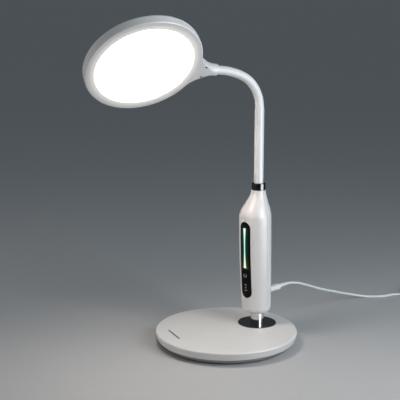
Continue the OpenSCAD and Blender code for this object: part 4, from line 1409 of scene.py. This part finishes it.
# Printed mark: an arc of line on the panel's face, thickened along the face's outward way
def arcMark(middle, radius, start, end, width, steps=48):
    a = np.radians(np.linspace(start, end, steps))[None, :]
    ring = radius + np.array([-0.5, 0.5, 0.5, -0.5])[:, None] * width
    lift = panel["proud"] + np.repeat([panel["print"], -panel["printDepth"]], 2)[:, None]
    x = middle[0] + ring * np.sin(a)
    z = panelZ + middle[1] + ring * np.cos(a)
    points = onColumn(angleAt(x, z), z, lift * np.ones_like(a))
    ends = [points[:, i].mean(0) * np.ones((4, 1, 1)) for i in (0, -1)]
    return np.concatenate([ends[0], points, ends[1]], 1), gridFaces(4, steps + 2, True, False)


# Each mark: middle, radius, first and last degrees, line width
upper, lower = panel["keys"]
marks = [
    arcMark((0, upper), 2.2, 35, 325, 0.6),
    arcMark((0, upper + 2.4), 0.05, 0, 340, 0.7),
    arcMark((0, lower + 2.0), 2.0, -60, 60, 0.6),
    arcMark((0, lower - 2.0), 2.0, 120, 240, 0.6),
    arcMark((0, lower), 0.8, 0, 350, 0.6),
]
keyMarks = makePiece("keyMarks", toColumn(joinGrids(marks)), "key_print")
for piece in (panelLens, lightBar, keyMarks):
    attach(piece, "column")
print("touch panel made")


# Pieces that keep their solid's shape take the finish of their slot
kept = {
    "base_plate": "base_dark", "base_pad": "pad_rubber", "ballast": "ballast_iron", "base_screws": "steel",
    "neck_nut": "steel", "retaining_washer": "steel", "swivel_screw": "steel",
    "swivel_washer": "inner_plastic", "column_floor": "inner_plastic", "touch_pads": "contact_brass",
    "control_board": "board_green", "mood_leds": "led_yellow", "power_socket": "socket_black",
    "tube_clamp": "inner_plastic", "clamp_screw": "steel", "light_guide": "guide_clear",
    "reflector": "sheet_white", "led_strip": "sheet_white", "led_chips": "led_yellow",
}
for name, finish in kept.items():
    nodes[name].data.materials.clear()
    nodes[name].data.materials.append(finishes[finish])
print("solids dressed:", len(kept))


# Studio: pale floor, soft boxes and an even sky
studio = {
    "floor": 600.0,                # metres across
    "floorColour": (0.50, 0.495, 0.49),
    "sky": (0.12, 0.13, 0.14),     # what the camera and the reflections see
    "fill": (0.138, 0.160, 0.180),  # even light on the object
    # name: (place, aim, width, height, power, colour, seen by matt surfaces, seen by glossy ones)
    "boxes": {
        "softSide": (
            (0.60, 0.20, 0.48), (0, -0.02, 0.29), 0.30, 0.62, 2.9, (0.95, 0.98, 1.0), True, False),
        "softLeft": (
            (-0.50, -0.95, 0.28), (0, 0, 0.03), 0.9, 0.45, 2.2, (1.0, 0.95, 0.92), True, False),
        "softRear": (
            (0.70, 0.90, 0.55), (0, 0.03, 0.24), 0.6, 0.8, 2.3, (0.55, 0.80, 1.0), True, True),
        "streakCard": (
            (0.58, 0.215, 0.31), (0, 0.05, 0.2), 0.30, 0.60, 7.0, (0.96, 0.98, 1.0), False, True),
        "lowCard": (
            (0.51, 0.455, 0.07), (0, 0.05, 0.12), 0.21, 0.14, 1.2, (0.96, 0.98, 1.0), False, True),
    },
}


def makeFloor(size):
    mesh = bpy.data.meshes.new("floor")
    s = size / 2
    mesh.from_pydata([(-s, -s, 0), (s, -s, 0), (s, s, 0), (-s, s, 0)], [], [(0, 1, 2, 3)])
    paint = Paint("floor paper", {"Roughness": 0.9, "Specular IOR Level": 0.1})
    tooth = paint.noise(paint.place(), pattern["tooth"])
    colour = rgb(*studio["floorColour"])
    paint.feed(Base_Color=paint.mix(tooth, shade(colour, 0.995), shade(colour, 1.005)))
    mesh.materials.append(paint.material)
    addObject("floor", mesh)


def softBox(name, place, aim, width, height, power, colour, onMatt, onGloss):
    light = bpy.data.lights.new(name, "AREA")
    light.shape = "RECTANGLE"
    light.size = width
    light.size_y = height
    light.energy = power
    light.color = colour
    lamp = addObject(name, light)
    lamp.location = place
    lamp.visible_camera = False
    lamp.visible_diffuse = onMatt
    lamp.visible_glossy = onGloss
    x, y, z = np.array(aim) - np.array(place)
    lamp.rotation_euler = (math.atan2(math.hypot(x, y), -z), 0, math.atan2(-x, y))


# Camera, glossy and transmission rays see the sky, and all others the fill
def makeSky():
    world = bpy.data.worlds.new("studio")
    scene.world = world
    sky = Nodes(world)
    even = sky.tree.nodes["Background"]
    sky.join(even, {"Color": rgb(*studio["fill"])})
    seen = sky.node("ShaderNodeBackground", {}, {"Color": rgb(*studio["sky"])})
    rays = [sky.node("ShaderNodeLightPath", {}, {}, "Is %s Ray" % kind)
            for kind in ("Camera", "Glossy", "Transmission")]
    every = sky.math("MAXIMUM", rays[0], sky.math("MAXIMUM", rays[1], rays[2]))
    choose = sky.node("ShaderNodeMixShader", {}, {0: every, 1: Wire(sky, even.outputs[0]), 2: seen})
    sky.join(sky.tree.nodes["World Output"], {"Surface": choose})


makeFloor(studio["floor"])
for name, box in studio["boxes"].items():
    softBox(name, *box)
makeSky()
print("studio lit")
